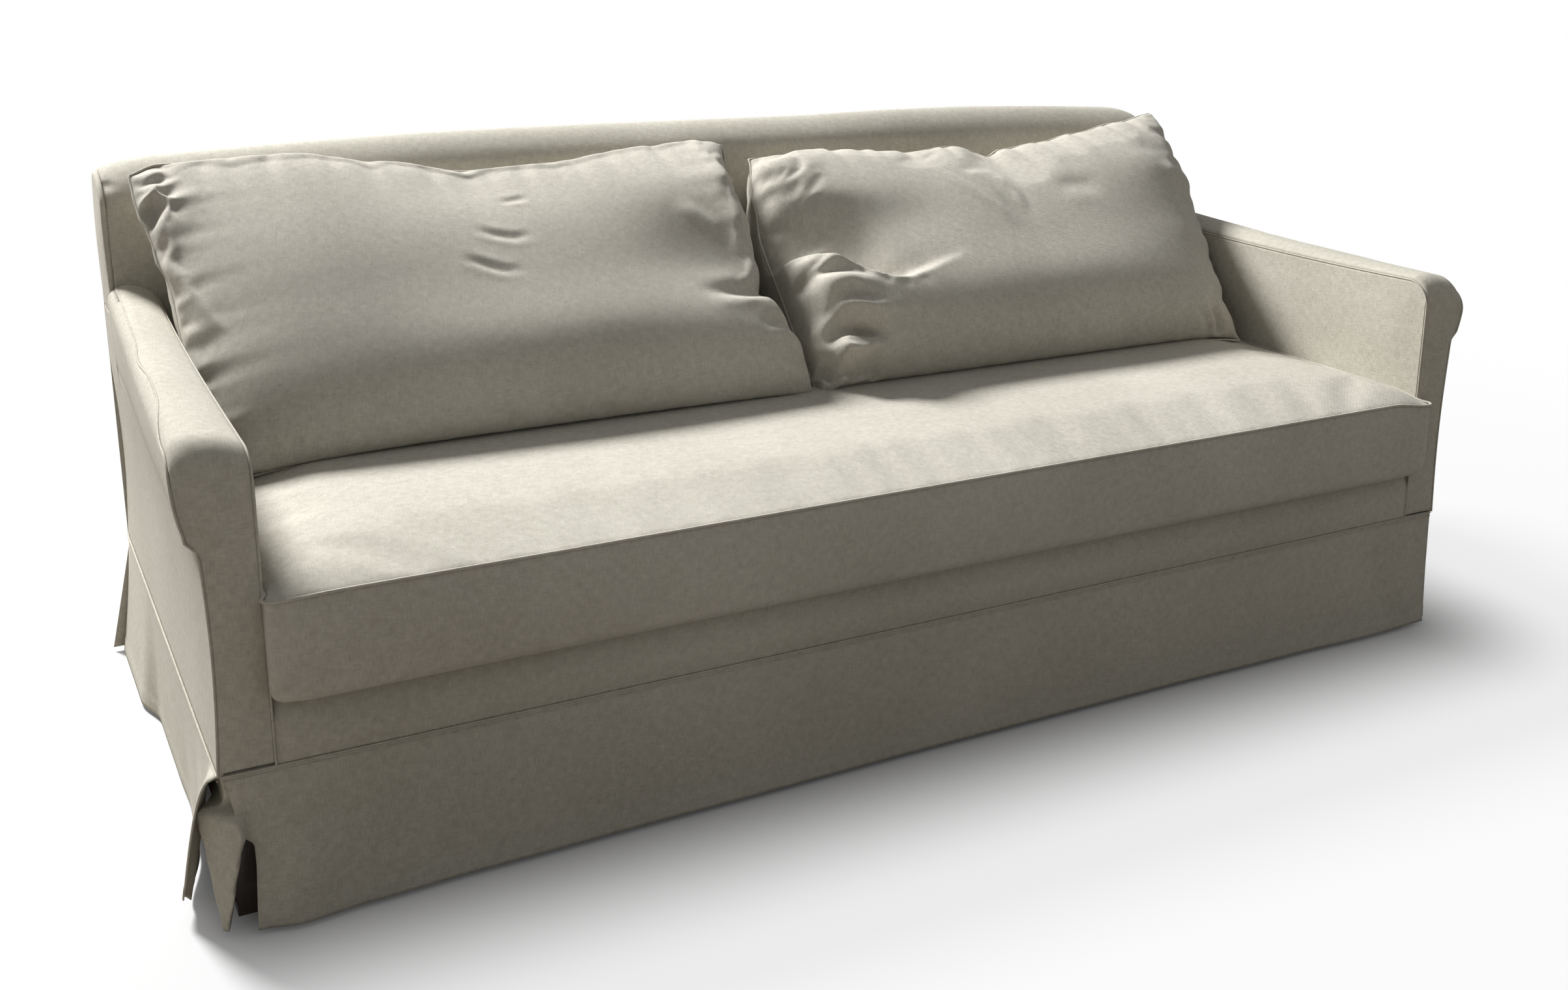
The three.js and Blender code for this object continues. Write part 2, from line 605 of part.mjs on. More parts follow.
function makeSkirts() {
  const [x, y0, y1] = [outerX, frontY, backY];
  const sideEnds = [y0 + SLIT, y1 - SLIT];
  const at = (px, py) => new THREE.Vector3(px, py, 0);
  makeSkirt("skirt_front", SKIRT_WAVE, at(-x + SLIT, y0), at(x - SLIT, y0), at(0, -1));
  makeSkirt("skirt_back", SKIRT_WAVE, at(-x + SLIT, y1), at(x - SLIT, y1), at(0, 1));
  makeSkirt("skirt_left", SIDE_SKIRT_WAVE, at(-x, sideEnds[0]), at(-x, sideEnds[1]), at(-1, 0));
  makeSkirt("skirt_right", SIDE_SKIRT_WAVE, at(x, sideEnds[0]), at(x, sideEnds[1]), at(1, 0));
}

// The folded cloth behind a corner slit, an L seen from above
function makePleat(name, side, edgeY, inward) {
  const outer = outerX - CLOTH - FIT * 2;
  const inner = outer - CLOTH;
  const face = edgeY + inward * (CLOTH + FIT * 2);
  const [lining, tail] = [face + inward * CLOTH, face + inward * PLEAT_WIDTH];
  const points = [[outer, face], [outer, tail], [inner, tail], [inner, lining],
    [outer - PLEAT_WIDTH, lining], [outer - PLEAT_WIDTH, face]];
  const corner = points.map(([x, y]) => [side * x, y]);
  place(name, "linen", slabAlongZ(corner, HEM_HEIGHT + PLEAT_LIFT, SEAM_HEIGHT - FIT));
}

// A rectangle with rounded corners as a ring of points, its sides drawn in between the corners
function cushionRing(x0, x1, y0, y1, inset, z) {
  const radius = Math.max(CUSHION_CORNER - inset / 2, EASE);
  const [cx, cy] = [(x0 + x1) / 2, (y0 + y1) / 2];
  const [hx, hy] = [(x1 - x0) / 2 - inset, (y1 - y0) / 2 - inset];
  const [rx, ry] = [hx - radius, hy - radius];
  const ring = [];
  for (const [sx, sy, first] of [[1, 1, 0], [-1, 1, 1], [-1, -1, 2], [1, -1, 3]]) {
    for (const share of steps(3)) {
      const angle = Math.PI / 2 * (first + share);
      const [x, y] = [sx * rx + radius * Math.cos(angle), sy * ry + radius * Math.sin(angle)];
      ring.push(new THREE.Vector3(cx + x, cy + y, z));
    }
    const along = first % 2 === 0;
    for (const share of cushionSideShares) {
      const pull = CUSHION_DRAW_IN * Math.sin(Math.PI * share);
      const from = along ? sx * rx : sy * ry;
      const run = between(from, -from, share);
      ring.push(along
        ? new THREE.Vector3(cx + run, cy + sy * (hy - pull), z)
        : new THREE.Vector3(cx + sx * (hx - pull), cy + run, z));
    }
  }
  return ring;
}

const cushionX = innerX - EASE;
const cushionY = [frontY - CUSHION_PROUD, backFace(cushionBottom) - EASE];
const cushionSeam = cushionBottom + CUSHION_BOXING;

// The seat cushion's outer form: a drawn-in boxing with a crowned top
function seatForm() {
  const halfDepth = (cushionY[1] - cushionY[0]) / 2;
  const ring = (inset, z) => cushionRing(-cushionX, cushionX, ...cushionY, inset, z);
  const rings = [ring(CUSHION_BASE_EDGE, cushionBottom), ring(0, cushionBottom + CUSHION_BASE_EDGE),
    ring(0, cushionSeam), ...crownShares.map(([inset, rise]) =>
      ring(CUSHION_BASE_EDGE / 4 + inset * halfDepth, cushionSeam + rise * CUSHION_CROWN))];
  return loft(rings, (p) => new THREE.Vector2(p.x, p.y));
}

function coreForm(gap) {
  const inset = CORE_WALL + CUSHION_DRAW_IN - gap;
  return boxGeometry([-cushionX + inset, cushionX - inset], [cushionY[0] + inset, cushionY[1] - inset],
    [cushionBottom + CORE_WALL - gap, cushionSeam - CORE_WALL / 2 + gap]);
}

function makeSeatCushion() {
  const slot = boxGeometry([-cushionX * zipShare, cushionX * zipShare],
    [cushionY[1] - CORE_WALL * 2, cushionY[1] + OVERRUN], centred(cushionBottom, cushionSeam, ZIP_SLOT));
  place("seat_cushion_cover", "cushion_linen", cut(seatForm(), coreForm(FIT), slot));
  place("seat_cushion_core", "foam", coreForm(0));
}

// A knife-edged pillow in its own frame: X across, Z up its height and Y through it from front to back
function pillowForm(width, height, swells) {
  const [columns, rows] = [PILLOW_COLUMNS, PILLOW_ROWS];
  const points = [];
  const faces = [];
  const index = new Map();
  const vertex = (i, j, face) => {
    const [u, v] = [2 * i / columns - 1, 2 * j / rows - 1];
    const rim = i === 0 || j === 0 || i === columns || j === rows;
    const key = `${i},${j},${rim ? 0 : face}`;
    if (!index.has(key)) {
      const [su, sv] = [Math.sin(Math.PI / 2 * u), Math.sin(Math.PI / 2 * v)];
      const fullAcross = 1 - su ** PILLOW_EDGE_POWER;
      const fullUp = 1 - sv ** PILLOW_EDGE_POWER;
      const full = Math.sqrt(fullAcross * fullUp) * (1 - slumpShare * sv);
      index.set(key, points.length);
      points.push(new THREE.Vector3(su * (width / 2 - PILLOW_PINCH * (1 - sv * sv)),
        rim ? 0 : face * swells[(face + 1) / 2] * full, sv * (height / 2 - PILLOW_PINCH * (1 - su * su))));
    }
    return index.get(key);
  };
  for (const face of [-1, 1]) {
    for (let i = 0; i < columns; i++) {
      for (let j = 0; j < rows; j++) {
        const [a, b] = [vertex(i, j, face), vertex(i + 1, j, face)];
        const [c, d] = [vertex(i + 1, j + 1, face), vertex(i, j + 1, face)];
        faces.push(...(face < 0 ? [[a, b, c], [a, c, d]] : [[a, c, b], [a, d, c]]));
      }
    }
  }
  return closedGeometry(points, faces);
}

const pillowWidth = innerX - EASE - PILLOW_GAP / 2;
const leanAngle = THREE.MathUtils.degToRad(PILLOW_LEAN);

// Leans a pillow back with its foot on the seat cushion.
function leanPillow(geometry, side) {
  const centreX = side * (PILLOW_GAP / 2 + pillowWidth / 2);
  const seatLine = cushionSeam + CUSHION_CROWN;
  const half = PILLOW_HEIGHT / 2;
  const centreY = backFace(seatLine) - PILLOW_FOOT + half * Math.sin(leanAngle);
  const centreZ = seatLine - PILLOW_SINK + half * Math.cos(leanAngle);
  return geometry.rotateX(-leanAngle).translate(centreX, centreY, centreZ);
}

// Everything behind the back's front face, which rakes up to the crest and stands upright along it
function backStop(gap) {
  const wide = [-outerX, outerX];
  const rakedFront = backY - BACK_AT_SEAT - gap;
  const crestFront = backFace(crestSeatEnd) - gap;
  return [
    rake(boxGeometry(wide, [rakedFront, backY], [deckTop, crestSeatEnd])),
    boxGeometry(wide, [crestFront, backY], [crestSeatEnd - OVERRUN, crestSeatEnd + PILLOW_HEIGHT]),
  ];
}

// A pillow that is drawn in by a wall on all sides, and pressed flat where the seat and the back stop it
function pressedPillow(side, wall) {
  const swells = [PILLOW_FRONT_SWELL - wall, PILLOW_BACK_SWELL - wall];
  const form = pillowForm(pillowWidth - 2 * wall, PILLOW_HEIGHT - 2 * wall, swells);
  const seat = seatForm().translate(0, 0, FIT + wall);
  return cut(leanPillow(form, side), seat, ...backStop(FIT + wall));
}

function makePillow(leftOrRight, side) {
  const half = pillowWidth / 2 * zipShare;
  const slot = boxGeometry([-half, half], centred(0, 0, ZIP_SLOT),
    [-PILLOW_HEIGHT / 2 - OVERRUN, -PILLOW_HEIGHT / 2 + PILLOW_WALL * 4]);
  const cover = cut(pressedPillow(side, 0), pressedPillow(side, PILLOW_WALL), leanPillow(slot, side));
  place(`back_cushion_cover_${leftOrRight}`, "cushion_linen", cover);
  place(`back_cushion_fill_${leftOrRight}`, "down_fill", pressedPillow(side, PILLOW_WALL + FIT));
}

makeCrossRails();
makeStretcher();
makeBackRails();
makeSprings();
makeDeck();
makeFrontBorder();
makeDustSheet();
makeBackUpholstery();
makeCrest();
makeSkirts();
makeSeatCushion();
for (const [name, [x, y]] of Object.entries(legPlaces)) {
  makeLeg(name, x, y);
}
for (const [leftOrRight, side] of [["left", -1], ["right", 1]]) {
  makeSideRail(`side_rail_${leftOrRight}`, side);
  makeBackPost(`back_post_${leftOrRight}`, side);
  makeArmPost(`arm_post_${leftOrRight}`, side);
  makeArmRail(`arm_top_rail_${leftOrRight}`, side);
  makeCornerBlock(`corner_block_front_${leftOrRight}`, side, woodFrontY + WOOD, 1);
  makeCornerBlock(`corner_block_back_${leftOrRight}`, side, kneeY, -1);
  makeArmBand(`arm_band_${leftOrRight}`, side);
  makeArmPanels(leftOrRight, side);
  makePleat(`pleat_insert_front_${leftOrRight}`, side, frontY, 1);
  makePleat(`pleat_insert_back_${leftOrRight}`, side, backY, -1);
  makePillow(leftOrRight, side);
}

export default sofa;
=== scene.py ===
# %% [markdown]
# # A camelback sofa in a linen slipcover
# The hard parts of the sofa come from a CAD model, and this notebook dresses them in cloth. Loading the
# model first means that every cushion and panel is built straight in place, in metres, with X along the
# sofa, Y from front to back and Z up from the floor.

# %% Load the frame and keep the size of the CAD model
import math

import bmesh
import bpy
import numpy as np
from mathutils import Matrix, Vector


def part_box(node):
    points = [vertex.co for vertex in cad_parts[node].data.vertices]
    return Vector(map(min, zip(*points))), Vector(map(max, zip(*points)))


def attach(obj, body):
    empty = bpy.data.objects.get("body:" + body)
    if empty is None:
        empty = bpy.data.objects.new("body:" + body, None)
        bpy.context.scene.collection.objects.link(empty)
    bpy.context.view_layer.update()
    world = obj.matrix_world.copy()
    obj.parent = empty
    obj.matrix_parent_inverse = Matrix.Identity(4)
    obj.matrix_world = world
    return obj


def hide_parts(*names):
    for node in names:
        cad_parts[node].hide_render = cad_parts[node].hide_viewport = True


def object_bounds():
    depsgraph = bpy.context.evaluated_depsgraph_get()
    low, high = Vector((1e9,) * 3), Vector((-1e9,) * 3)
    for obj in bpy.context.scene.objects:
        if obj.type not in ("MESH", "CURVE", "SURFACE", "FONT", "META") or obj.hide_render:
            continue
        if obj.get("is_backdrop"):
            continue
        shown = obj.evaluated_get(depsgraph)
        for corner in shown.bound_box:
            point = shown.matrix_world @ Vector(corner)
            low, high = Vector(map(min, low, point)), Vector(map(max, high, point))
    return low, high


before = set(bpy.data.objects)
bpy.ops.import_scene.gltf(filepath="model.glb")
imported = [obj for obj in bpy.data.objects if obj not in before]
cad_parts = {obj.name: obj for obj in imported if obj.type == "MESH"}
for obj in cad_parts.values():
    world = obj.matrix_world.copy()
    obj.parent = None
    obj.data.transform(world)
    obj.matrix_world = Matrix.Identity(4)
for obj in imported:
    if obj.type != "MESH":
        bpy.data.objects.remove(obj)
scene = bpy.context.scene
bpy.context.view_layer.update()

# %% [markdown]
# ## The camera
# A picture taken from a little above and to the left shows the seat, both arms and the back at once.
# The direction is written as a turn, a tilt and a slight roll, because that is how a photographer sets a
# tripod head. The lens shift moves the frame without turning the camera, so that upright edges stay as
# they are.

# %% Camera
CAMERA_PLACE = Vector((-1.316, -2.468, 1.255))
CAMERA_TURN = math.radians(28.63)
CAMERA_TILT = math.radians(-14.57)
CAMERA_ROLL = math.radians(0.54)
PICTURE_WIDTH_PX = 2408
FOCAL_LENGTH_PX = 2487
SHIFT_RIGHT_PX = 52.1
SHIFT_UP_PX = 202.0
SENSOR_WIDTH_MM = 36


def make_camera():
    data = bpy.data.cameras.new("camera")
    data.sensor_width = SENSOR_WIDTH_MM
    data.lens = FOCAL_LENGTH_PX / PICTURE_WIDTH_PX * SENSOR_WIDTH_MM
    data.shift_x = -SHIFT_RIGHT_PX / PICTURE_WIDTH_PX
    data.shift_y = -SHIFT_UP_PX / PICTURE_WIDTH_PX
    camera = bpy.data.objects.new("camera", data)
    scene.collection.objects.link(camera)
    ahead = Vector((math.sin(CAMERA_TURN) * math.cos(CAMERA_TILT),
                    math.cos(CAMERA_TURN) * math.cos(CAMERA_TILT), math.sin(CAMERA_TILT)))
    level = Vector((math.cos(CAMERA_TURN), -math.sin(CAMERA_TURN), 0))
    upright = level.cross(ahead)
    right = math.cos(CAMERA_ROLL) * level + math.sin(CAMERA_ROLL) * upright
    up = right.cross(ahead)
    turn = Matrix((right, up, -ahead)).transposed()
    camera.matrix_world = Matrix.Translation(CAMERA_PLACE) @ turn.to_4x4()
    scene.camera = camera
    return camera


camera = make_camera()
print("camera lens", round(camera.data.lens, 2), "mm")

# %% [markdown]
# ## Light, floor and background
# Linen shows its folds best under one broad light from a window side and a weak fill from everywhere.
# The background is white only where the camera looks at it, so it adds no light to the sofa. The floor
# is plain and pale near the sofa, where it catches the shadow, and fades to white further out. The light
# that it throws back is darker and warmer than what the camera sees, which keeps the fronts in shade.

# %% Colours and shader nodes
def linear(screen_value):
    share = screen_value / 255
    return share / 12.92 if share <= 0.04045 else ((share + 0.055) / 1.055) ** 2.4


def colour(red, green, blue):
    return (linear(red), linear(green), linear(blue), 1.0)


def add_node(tree, kind, settings=None, inputs=None):
    node = tree.nodes.new(kind)
    for name, value in (settings or {}).items():
        setattr(node, name, value)
    for name, value in (inputs or {}).items():
        if isinstance(value, bpy.types.NodeSocket):
            tree.links.new(value, node.inputs[name])
        else:
            node.inputs[name].default_value = value
    return node


def seen_by_eye(tree):
    path = add_node(tree, "ShaderNodeLightPath")
    first = add_node(tree, "ShaderNodeMath", {"operation": "MAXIMUM"},
                     {0: path.outputs["Is Camera Ray"], 1: path.outputs["Is Glossy Ray"]})
    return add_node(tree, "ShaderNodeMath", {"operation": "MAXIMUM"},
                    {0: first.outputs[0], 1: path.outputs["Is Transmission Ray"]}).outputs[0]


# %% World
SKY_STRENGTH = 0.27


def make_world():
    world = bpy.data.worlds.new("studio")
    world.use_nodes = True
    tree = world.node_tree
    tree.nodes.clear()
    soft = add_node(tree, "ShaderNodeBackground", inputs={"Color": (1, 1, 1, 1), "Strength": SKY_STRENGTH})
    white = add_node(tree, "ShaderNodeBackground", inputs={"Color": (1, 1, 1, 1), "Strength": 1.0})
    mix = add_node(tree, "ShaderNodeMixShader",
                   inputs={0: seen_by_eye(tree), 1: soft.outputs[0], 2: white.outputs[0]})
    add_node(tree, "ShaderNodeOutputWorld", inputs={0: mix.outputs[0]})
    scene.world = world


make_world()
scene.view_settings.view_transform = "Standard"
print("sky strength", SKY_STRENGTH)

# %% Floor
FLOOR_HALF = 60.0
FLOOR_GREY = (0.62, 0.62, 0.62, 1)
FLOOR_BOUNCE = (0.32, 0.29, 0.25, 1)
SHADE_FROM = (1.02, 0.44)
SHADE_REACH = 0.38
WHITE_REACH = 2.40
NEAR_WHITE = 0.80


def away_from_sofa(tree):
    """How far a place on the floor lies outside the sofa's footprint, in metres."""
    place = add_node(tree, "ShaderNodeTexCoord").outputs["Object"]
    split = add_node(tree, "ShaderNodeSeparateXYZ", inputs={0: place})
    squares = []
    for axis, half in enumerate(SHADE_FROM):
        size = add_node(tree, "ShaderNodeMath", {"operation": "ABSOLUTE"}, {0: split.outputs[axis]})
        over = add_node(tree, "ShaderNodeMath", {"operation": "SUBTRACT"}, {0: size.outputs[0], 1: half})
        outside = add_node(tree, "ShaderNodeMath", {"operation": "MAXIMUM"}, {0: over.outputs[0], 1: 0.0})
        squares.append(add_node(tree, "ShaderNodeMath", {"operation": "POWER"},
                                {0: outside.outputs[0], 1: 2.0}).outputs[0])
    total = add_node(tree, "ShaderNodeMath", {"operation": "ADD"}, {0: squares[0], 1: squares[1]})
    return add_node(tree, "ShaderNodeMath", {"operation": "SQRT"}, {0: total.outputs[0]}).outputs[0]


def make_floor():
    mesh = bpy.data.meshes.new("floor")
    bm = bmesh.new()
    bmesh.ops.create_grid(bm, x_segments=2, y_segments=2, size=FLOOR_HALF)
    bm.to_mesh(mesh)
    bm.free()
    floor = bpy.data.objects.new("floor", mesh)
    scene.collection.objects.link(floor)
    material = bpy.data.materials.new("floor_white")
    material.use_nodes = True
    tree = material.node_tree
    tree.nodes.clear()
    away = away_from_sofa(tree)
    near = add_node(tree, "ShaderNodeMapRange", {"interpolation_type": "SMOOTHSTEP"},
                    {"Value": away, "From Max": SHADE_REACH, "To Max": NEAR_WHITE})
    far = add_node(tree, "ShaderNodeMapRange", {"interpolation_type": "SMOOTHSTEP"},
                   {"Value": away, "From Min": SHADE_REACH / 2, "From Max": WHITE_REACH,
                    "To Max": 1 - NEAR_WHITE})
    fade = add_node(tree, "ShaderNodeMath", {"operation": "ADD"}, {0: near.outputs[0], 1: far.outputs[0]})
    white = add_node(tree, "ShaderNodeMath", {"operation": "MULTIPLY"},
                     {0: fade.outputs[0], 1: seen_by_eye(tree)})
    shade = add_node(tree, "ShaderNodeMix", {"data_type": "RGBA"},
                     {0: seen_by_eye(tree), 6: FLOOR_BOUNCE, 7: FLOOR_GREY})
    matt = add_node(tree, "ShaderNodeBsdfDiffuse", inputs={"Color": shade.outputs[2]})
    glow = add_node(tree, "ShaderNodeEmission", inputs={"Color": (1, 1, 1, 1), "Strength": 1.0})
    mix = add_node(tree, "ShaderNodeMixShader",
                   inputs={0: white.outputs[0], 1: matt.outputs[0], 2: glow.outputs[0]})
    add_node(tree, "ShaderNodeOutputMaterial", inputs={0: mix.outputs[0]})
    mesh.materials.append(material)
    floor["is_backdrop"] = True
    return floor


make_floor()
print("floor: shade fades within", SHADE_REACH, "m, white from", WHITE_REACH, "m")

# %% Lamps
AIM = Vector((0.0, 0.0, 0.45))
LAMPS = {
    "window": {"place": (-2.4, 4.6, 5.75), "size": 2.0, "power": 1120},
}


def make_lamp(name, place, size, power):
    data = bpy.data.lights.new(name, "AREA")
    data.shape = "DISK"
    data.size = size
    data.energy = power
    lamp = bpy.data.objects.new(name, data)
    lamp.location = place
    lamp.rotation_euler = (AIM - lamp.location).to_track_quat("-Z", "Y").to_euler()
    scene.collection.objects.link(lamp)


for lamp_name, lamp_facts in LAMPS.items():
    make_lamp(lamp_name, **lamp_facts)
print("lamps", list(LAMPS))

# %% [markdown]
# ## Materials
# Linen is a plain weave of uneven flax threads. Its look comes from three things: threads that go over
# and under each other, slubs that run a few centimetres along a thread, and a slow change of tone over
# the whole cloth. All of them are drawn on a UV map in metres that follows each panel's grain, so the
# weave has the same size everywhere.

# %% Linen and the other cloths
def new_material(name):
    material = bpy.data.materials.new(name)
    material.use_nodes = True
    tree = material.node_tree
    tree.nodes.clear()
    shader = add_node(tree, "ShaderNodeBsdfPrincipled")
    add_node(tree, "ShaderNodeOutputMaterial", inputs={0: shader.outputs[0]})
    return material, tree, shader


def stretched_noise(tree, vector, across, along, detail=1.0):
    """Noise in streaks: across and along are the streaks' sizes in metres."""
    scaled = add_node(tree, "ShaderNodeMapping",
                      inputs={"Vector": vector, "Scale": (1 / across, 1 / along, 1)})
    noise = add_node(tree, "ShaderNodeTexNoise", inputs={"Vector": scaled.outputs[0], "Scale": 1.0,
                                                         "Detail": detail, "Roughness": 0.6})
    return noise.outputs["Fac"]


def arithmetic(tree, operation, first, second):
    return add_node(tree, "ShaderNodeMath", {"operation": operation}, {0: first, 1: second}).outputs[0]


def plain_weave(tree, grain, pitch):
    """The over and under of the threads, from 0 to 1."""
    split = add_node(tree, "ShaderNodeSeparateXYZ", inputs={0: grain})
    waves = [arithmetic(tree, "SINE", arithmetic(tree, "MULTIPLY", split.outputs[axis], math.pi / pitch), 0)
             for axis in (0, 1)]
    return arithmetic(tree, "MULTIPLY_ADD", arithmetic(tree, "MULTIPLY", *waves), 0.5)


def woven(name, light, dark, pitch=0.0010, slub=0.34, tone=0.5, relief=0.0006, sheen=0.12, rough=0.93):
    material, tree, shader = new_material(name)
    grain = add_node(tree, "ShaderNodeUVMap", {"uv_map": "grain"}).outputs[0]
    body = add_node(tree, "ShaderNodeTexCoord").outputs["Object"]
    warp = stretched_noise(tree, grain, pitch * 1.5, pitch * 14)
    weft = stretched_noise(tree, grain, pitch * 16, pitch * 1.5)
    threads = arithmetic(tree, "ADD", warp, weft)
    weave = plain_weave(tree, grain, pitch)
    drift = add_node(tree, "ShaderNodeTexNoise",
                     inputs={"Vector": body, "Scale": 3.2, "Detail": 2.0}).outputs["Fac"]
    mottle = add_node(tree, "ShaderNodeTexNoise",
                      inputs={"Vector": body, "Scale": 90.0, "Detail": 1.0}).outputs["Fac"]
    shade = arithmetic(tree, "MULTIPLY", threads, slub)
    shade = arithmetic(tree, "ADD", shade, arithmetic(tree, "MULTIPLY", weave, 0.16))
    shade = arithmetic(tree, "ADD", shade, arithmetic(tree, "MULTIPLY", drift, tone * 0.55))
    shade = arithmetic(tree, "ADD", shade, arithmetic(tree, "MULTIPLY", mottle, tone * 0.45))
    middle = slub + 0.08 + tone * 0.5
    range_node = add_node(tree, "ShaderNodeMapRange",
                          inputs={"Value": shade, "From Min": middle - 0.26, "From Max": middle + 0.26})
    mix = add_node(tree, "ShaderNodeMix", {"data_type": "RGBA"},
                   {0: range_node.outputs[0], 6: dark, 7: light})
    tree.links.new(mix.outputs[2], shader.inputs["Base Color"])
    height = arithmetic(tree, "ADD", weave, arithmetic(tree, "MULTIPLY", threads, 1.4))
    bump = add_node(tree, "ShaderNodeBump", inputs={"Height": height, "Strength": 0.55, "Distance": relief})
    tree.links.new(bump.outputs[0], shader.inputs["Normal"])
    shader.inputs["Roughness"].default_value = rough
    shader.inputs["Sheen Weight"].default_value = sheen
    shader.inputs["Specular IOR Level"].default_value = 0.25
    return material


LINEN = woven("linen", colour(214, 210, 197), colour(160, 155, 140))
CUSHION_LINEN = woven("cushion_linen", colour(216, 212, 200), colour(162, 157, 144))
LINING = woven("lining", colour(190, 184, 168), colour(150, 143, 128), pitch=0.0008, slub=0.3)
TICKING = woven("down_ticking", colour(240, 237, 230), colour(212, 208, 198),
                pitch=0.0005, slub=0.2, tone=0.3)
DUST_CLOTH = woven("dust_cloth", colour(44, 44, 46), colour(20, 20, 22), pitch=0.0014, slub=0.3)
print("cloths", [m.name for m in (LINEN, CUSHION_LINEN, LINING, TICKING, DUST_CLOTH)])


# %% [markdown]
# Foam has open cells, hardwood has long grain with darker pores, the feet are stained and lacquered, and
# the springs are drawn wire. These patterns read the object's own coordinates, because the pieces are
# blocks and wires that the pattern goes right through.

# %% Foam, wood and wire
def celled(name, light, dark, cell):
    material, tree, shader = new_material(name)
    body = add_node(tree, "ShaderNodeTexCoord").outputs["Object"]
    cells = add_node(tree, "ShaderNodeTexVoronoi",
                     inputs={"Vector": body, "Scale": 1 / cell}).outputs["Distance"]
    mix = add_node(tree, "ShaderNodeMix", {"data_type": "RGBA"}, {0: cells, 6: dark, 7: light})
    tree.links.new(mix.outputs[2], shader.inputs["Base Color"])
    bump = add_node(tree, "ShaderNodeBump", inputs={"Height": cells, "Strength": 0.6, "Distance": 0.001})
    tree.links.new(bump.outputs[0], shader.inputs["Normal"])
    shader.inputs["Roughness"].default_value = 0.95
    return material


def grained(name, light, dark, rough, along, coat=0.0):
    """Wood with its grain along one axis: 0 for X, 1 for Y, 2 for Z."""
    material, tree, shader = new_material(name)
    body = add_node(tree, "ShaderNodeTexCoord").outputs["Object"]
    fine = [260.0, 260.0, 260.0]
    broad = [28.0, 28.0, 28.0]
    fine[along] = 6.0
    broad[along] = 1.2
    scaled = [add_node(tree, "ShaderNodeMapping", inputs={"Vector": body, "Scale": size}).outputs[0]
              for size in (fine, broad)]
    pores = add_node(tree, "ShaderNodeTexNoise", inputs={"Vector": scaled[0], "Scale": 1.0, "Detail": 2.0})
    rings = add_node(tree, "ShaderNodeTexNoise",
                     inputs={"Vector": scaled[1], "Scale": 1.0, "Detail": 5.0, "Distortion": 0.8})
    both = arithmetic(tree, "ADD", arithmetic(tree, "MULTIPLY", pores.outputs["Fac"], 0.4),
                      arithmetic(tree, "MULTIPLY", rings.outputs["Fac"], 0.6))
    reach = add_node(tree, "ShaderNodeMapRange", inputs={"Value": both, "From Min": 0.36, "From Max": 0.64})
    mix = add_node(tree, "ShaderNodeMix", {"data_type": "RGBA"}, {0: reach.outputs[0], 6: dark, 7: light})
    tree.links.new(mix.outputs[2], shader.inputs["Base Color"])
    bump = add_node(tree, "ShaderNodeBump",
                    inputs={"Height": pores.outputs["Fac"], "Strength": 0.3, "Distance": 0.0004})
    tree.links.new(bump.outputs[0], shader.inputs["Normal"])
    shader.inputs["Roughness"].default_value = rough
    shader.inputs["Coat Weight"].default_value = coat
    return material


def drawn_wire(name):
    material, tree, shader = new_material(name)
    body = add_node(tree, "ShaderNodeTexCoord").outputs["Object"]
    streaks = add_node(tree, "ShaderNodeTexNoise", inputs={"Vector": body, "Scale": 240.0, "Detail": 3.0})
    mix = add_node(tree, "ShaderNodeMix", {"data_type": "RGBA"},
                   {0: streaks.outputs["Fac"], 6: colour(92, 94, 98), 7: colour(150, 152, 156)})
    tree.links.new(mix.outputs[2], shader.inputs["Base Color"])
    rough = add_node(tree, "ShaderNodeMapRange",
                     inputs={"Value": streaks.outputs["Fac"], "To Min": 0.28, "To Max": 0.5})
    tree.links.new(rough.outputs[0], shader.inputs["Roughness"])
    shader.inputs["Metallic"].default_value = 0.9
    return material


FOAM = celled("foam", colour(236, 226, 192), colour(214, 202, 164), cell=0.0022)
PALE_WOOD = (colour(196, 158, 108), colour(150, 112, 70))
HARDWOOD = [grained(f"hardwood_{axis}", *PALE_WOOD, 0.7, axis) for axis in range(3)]
STAINED = grained("stained_feet", colour(66, 48, 36), colour(34, 24, 18), 0.42, 2, coat=0.25)
WIRE = drawn_wire("spring_wire")
print("hard finishes", [m.name for m in (FOAM, *HARDWOOD, STAINED, WIRE)])

# %% [markdown]
# ## The lines that the pieces share
# A slipcover is cut along a few lines of the frame: the seam above the skirt, the arms' tops, the raked
# front of the back and the camel arch. They are read from the boxes of the CAD nodes, or written as the
# same rules as in the CAD model, so that each cloth piece lands on the piece that it covers.

# %% Lines and planes
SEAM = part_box("front_border")[0].z
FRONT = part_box("front_border")[0].y
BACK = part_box("back_outer_panel")[1].y
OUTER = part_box("back_outer_panel")[1].x
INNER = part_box("arm_inner_pad_right")[0].x
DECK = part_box("seat_deck")[1].z
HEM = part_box("skirt_front")[0].z
CREST_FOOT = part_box("back_crest_pad")[0].z
CREST_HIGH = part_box("back_crest_pad")[1].z
WING_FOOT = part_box("back_end_panel_right")[0].z
POST_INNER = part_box("back_post_right")[0].x
WOOD_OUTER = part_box("back_post_right")[1].x
BACK_AT_SEAT = 0.190
BACK_AT_TOP = 0.115
CAMEL_RISE = 0.035
CREST_SHOULDER = 0.090
SHOULDER_DROP = 0.020
CREST_PLACES = (-1.09, -0.83, -0.56, -0.30, -0.10, 0.07, 0.25, 0.43, 0.63, 0.85, 1.09)
CREST_SETTLED = (0.005, 0.006, 0.008, 0.013, 0.0155, 0.017, 0.016, 0.009, 0.003, 0.001, 0.0)
CREST_POWER = 0.7
CREST_TILT = 1 / 3
CREST_PEAK = 1.067
CREST_PAD = CREST_HIGH - CREST_FOOT - CAMEL_RISE
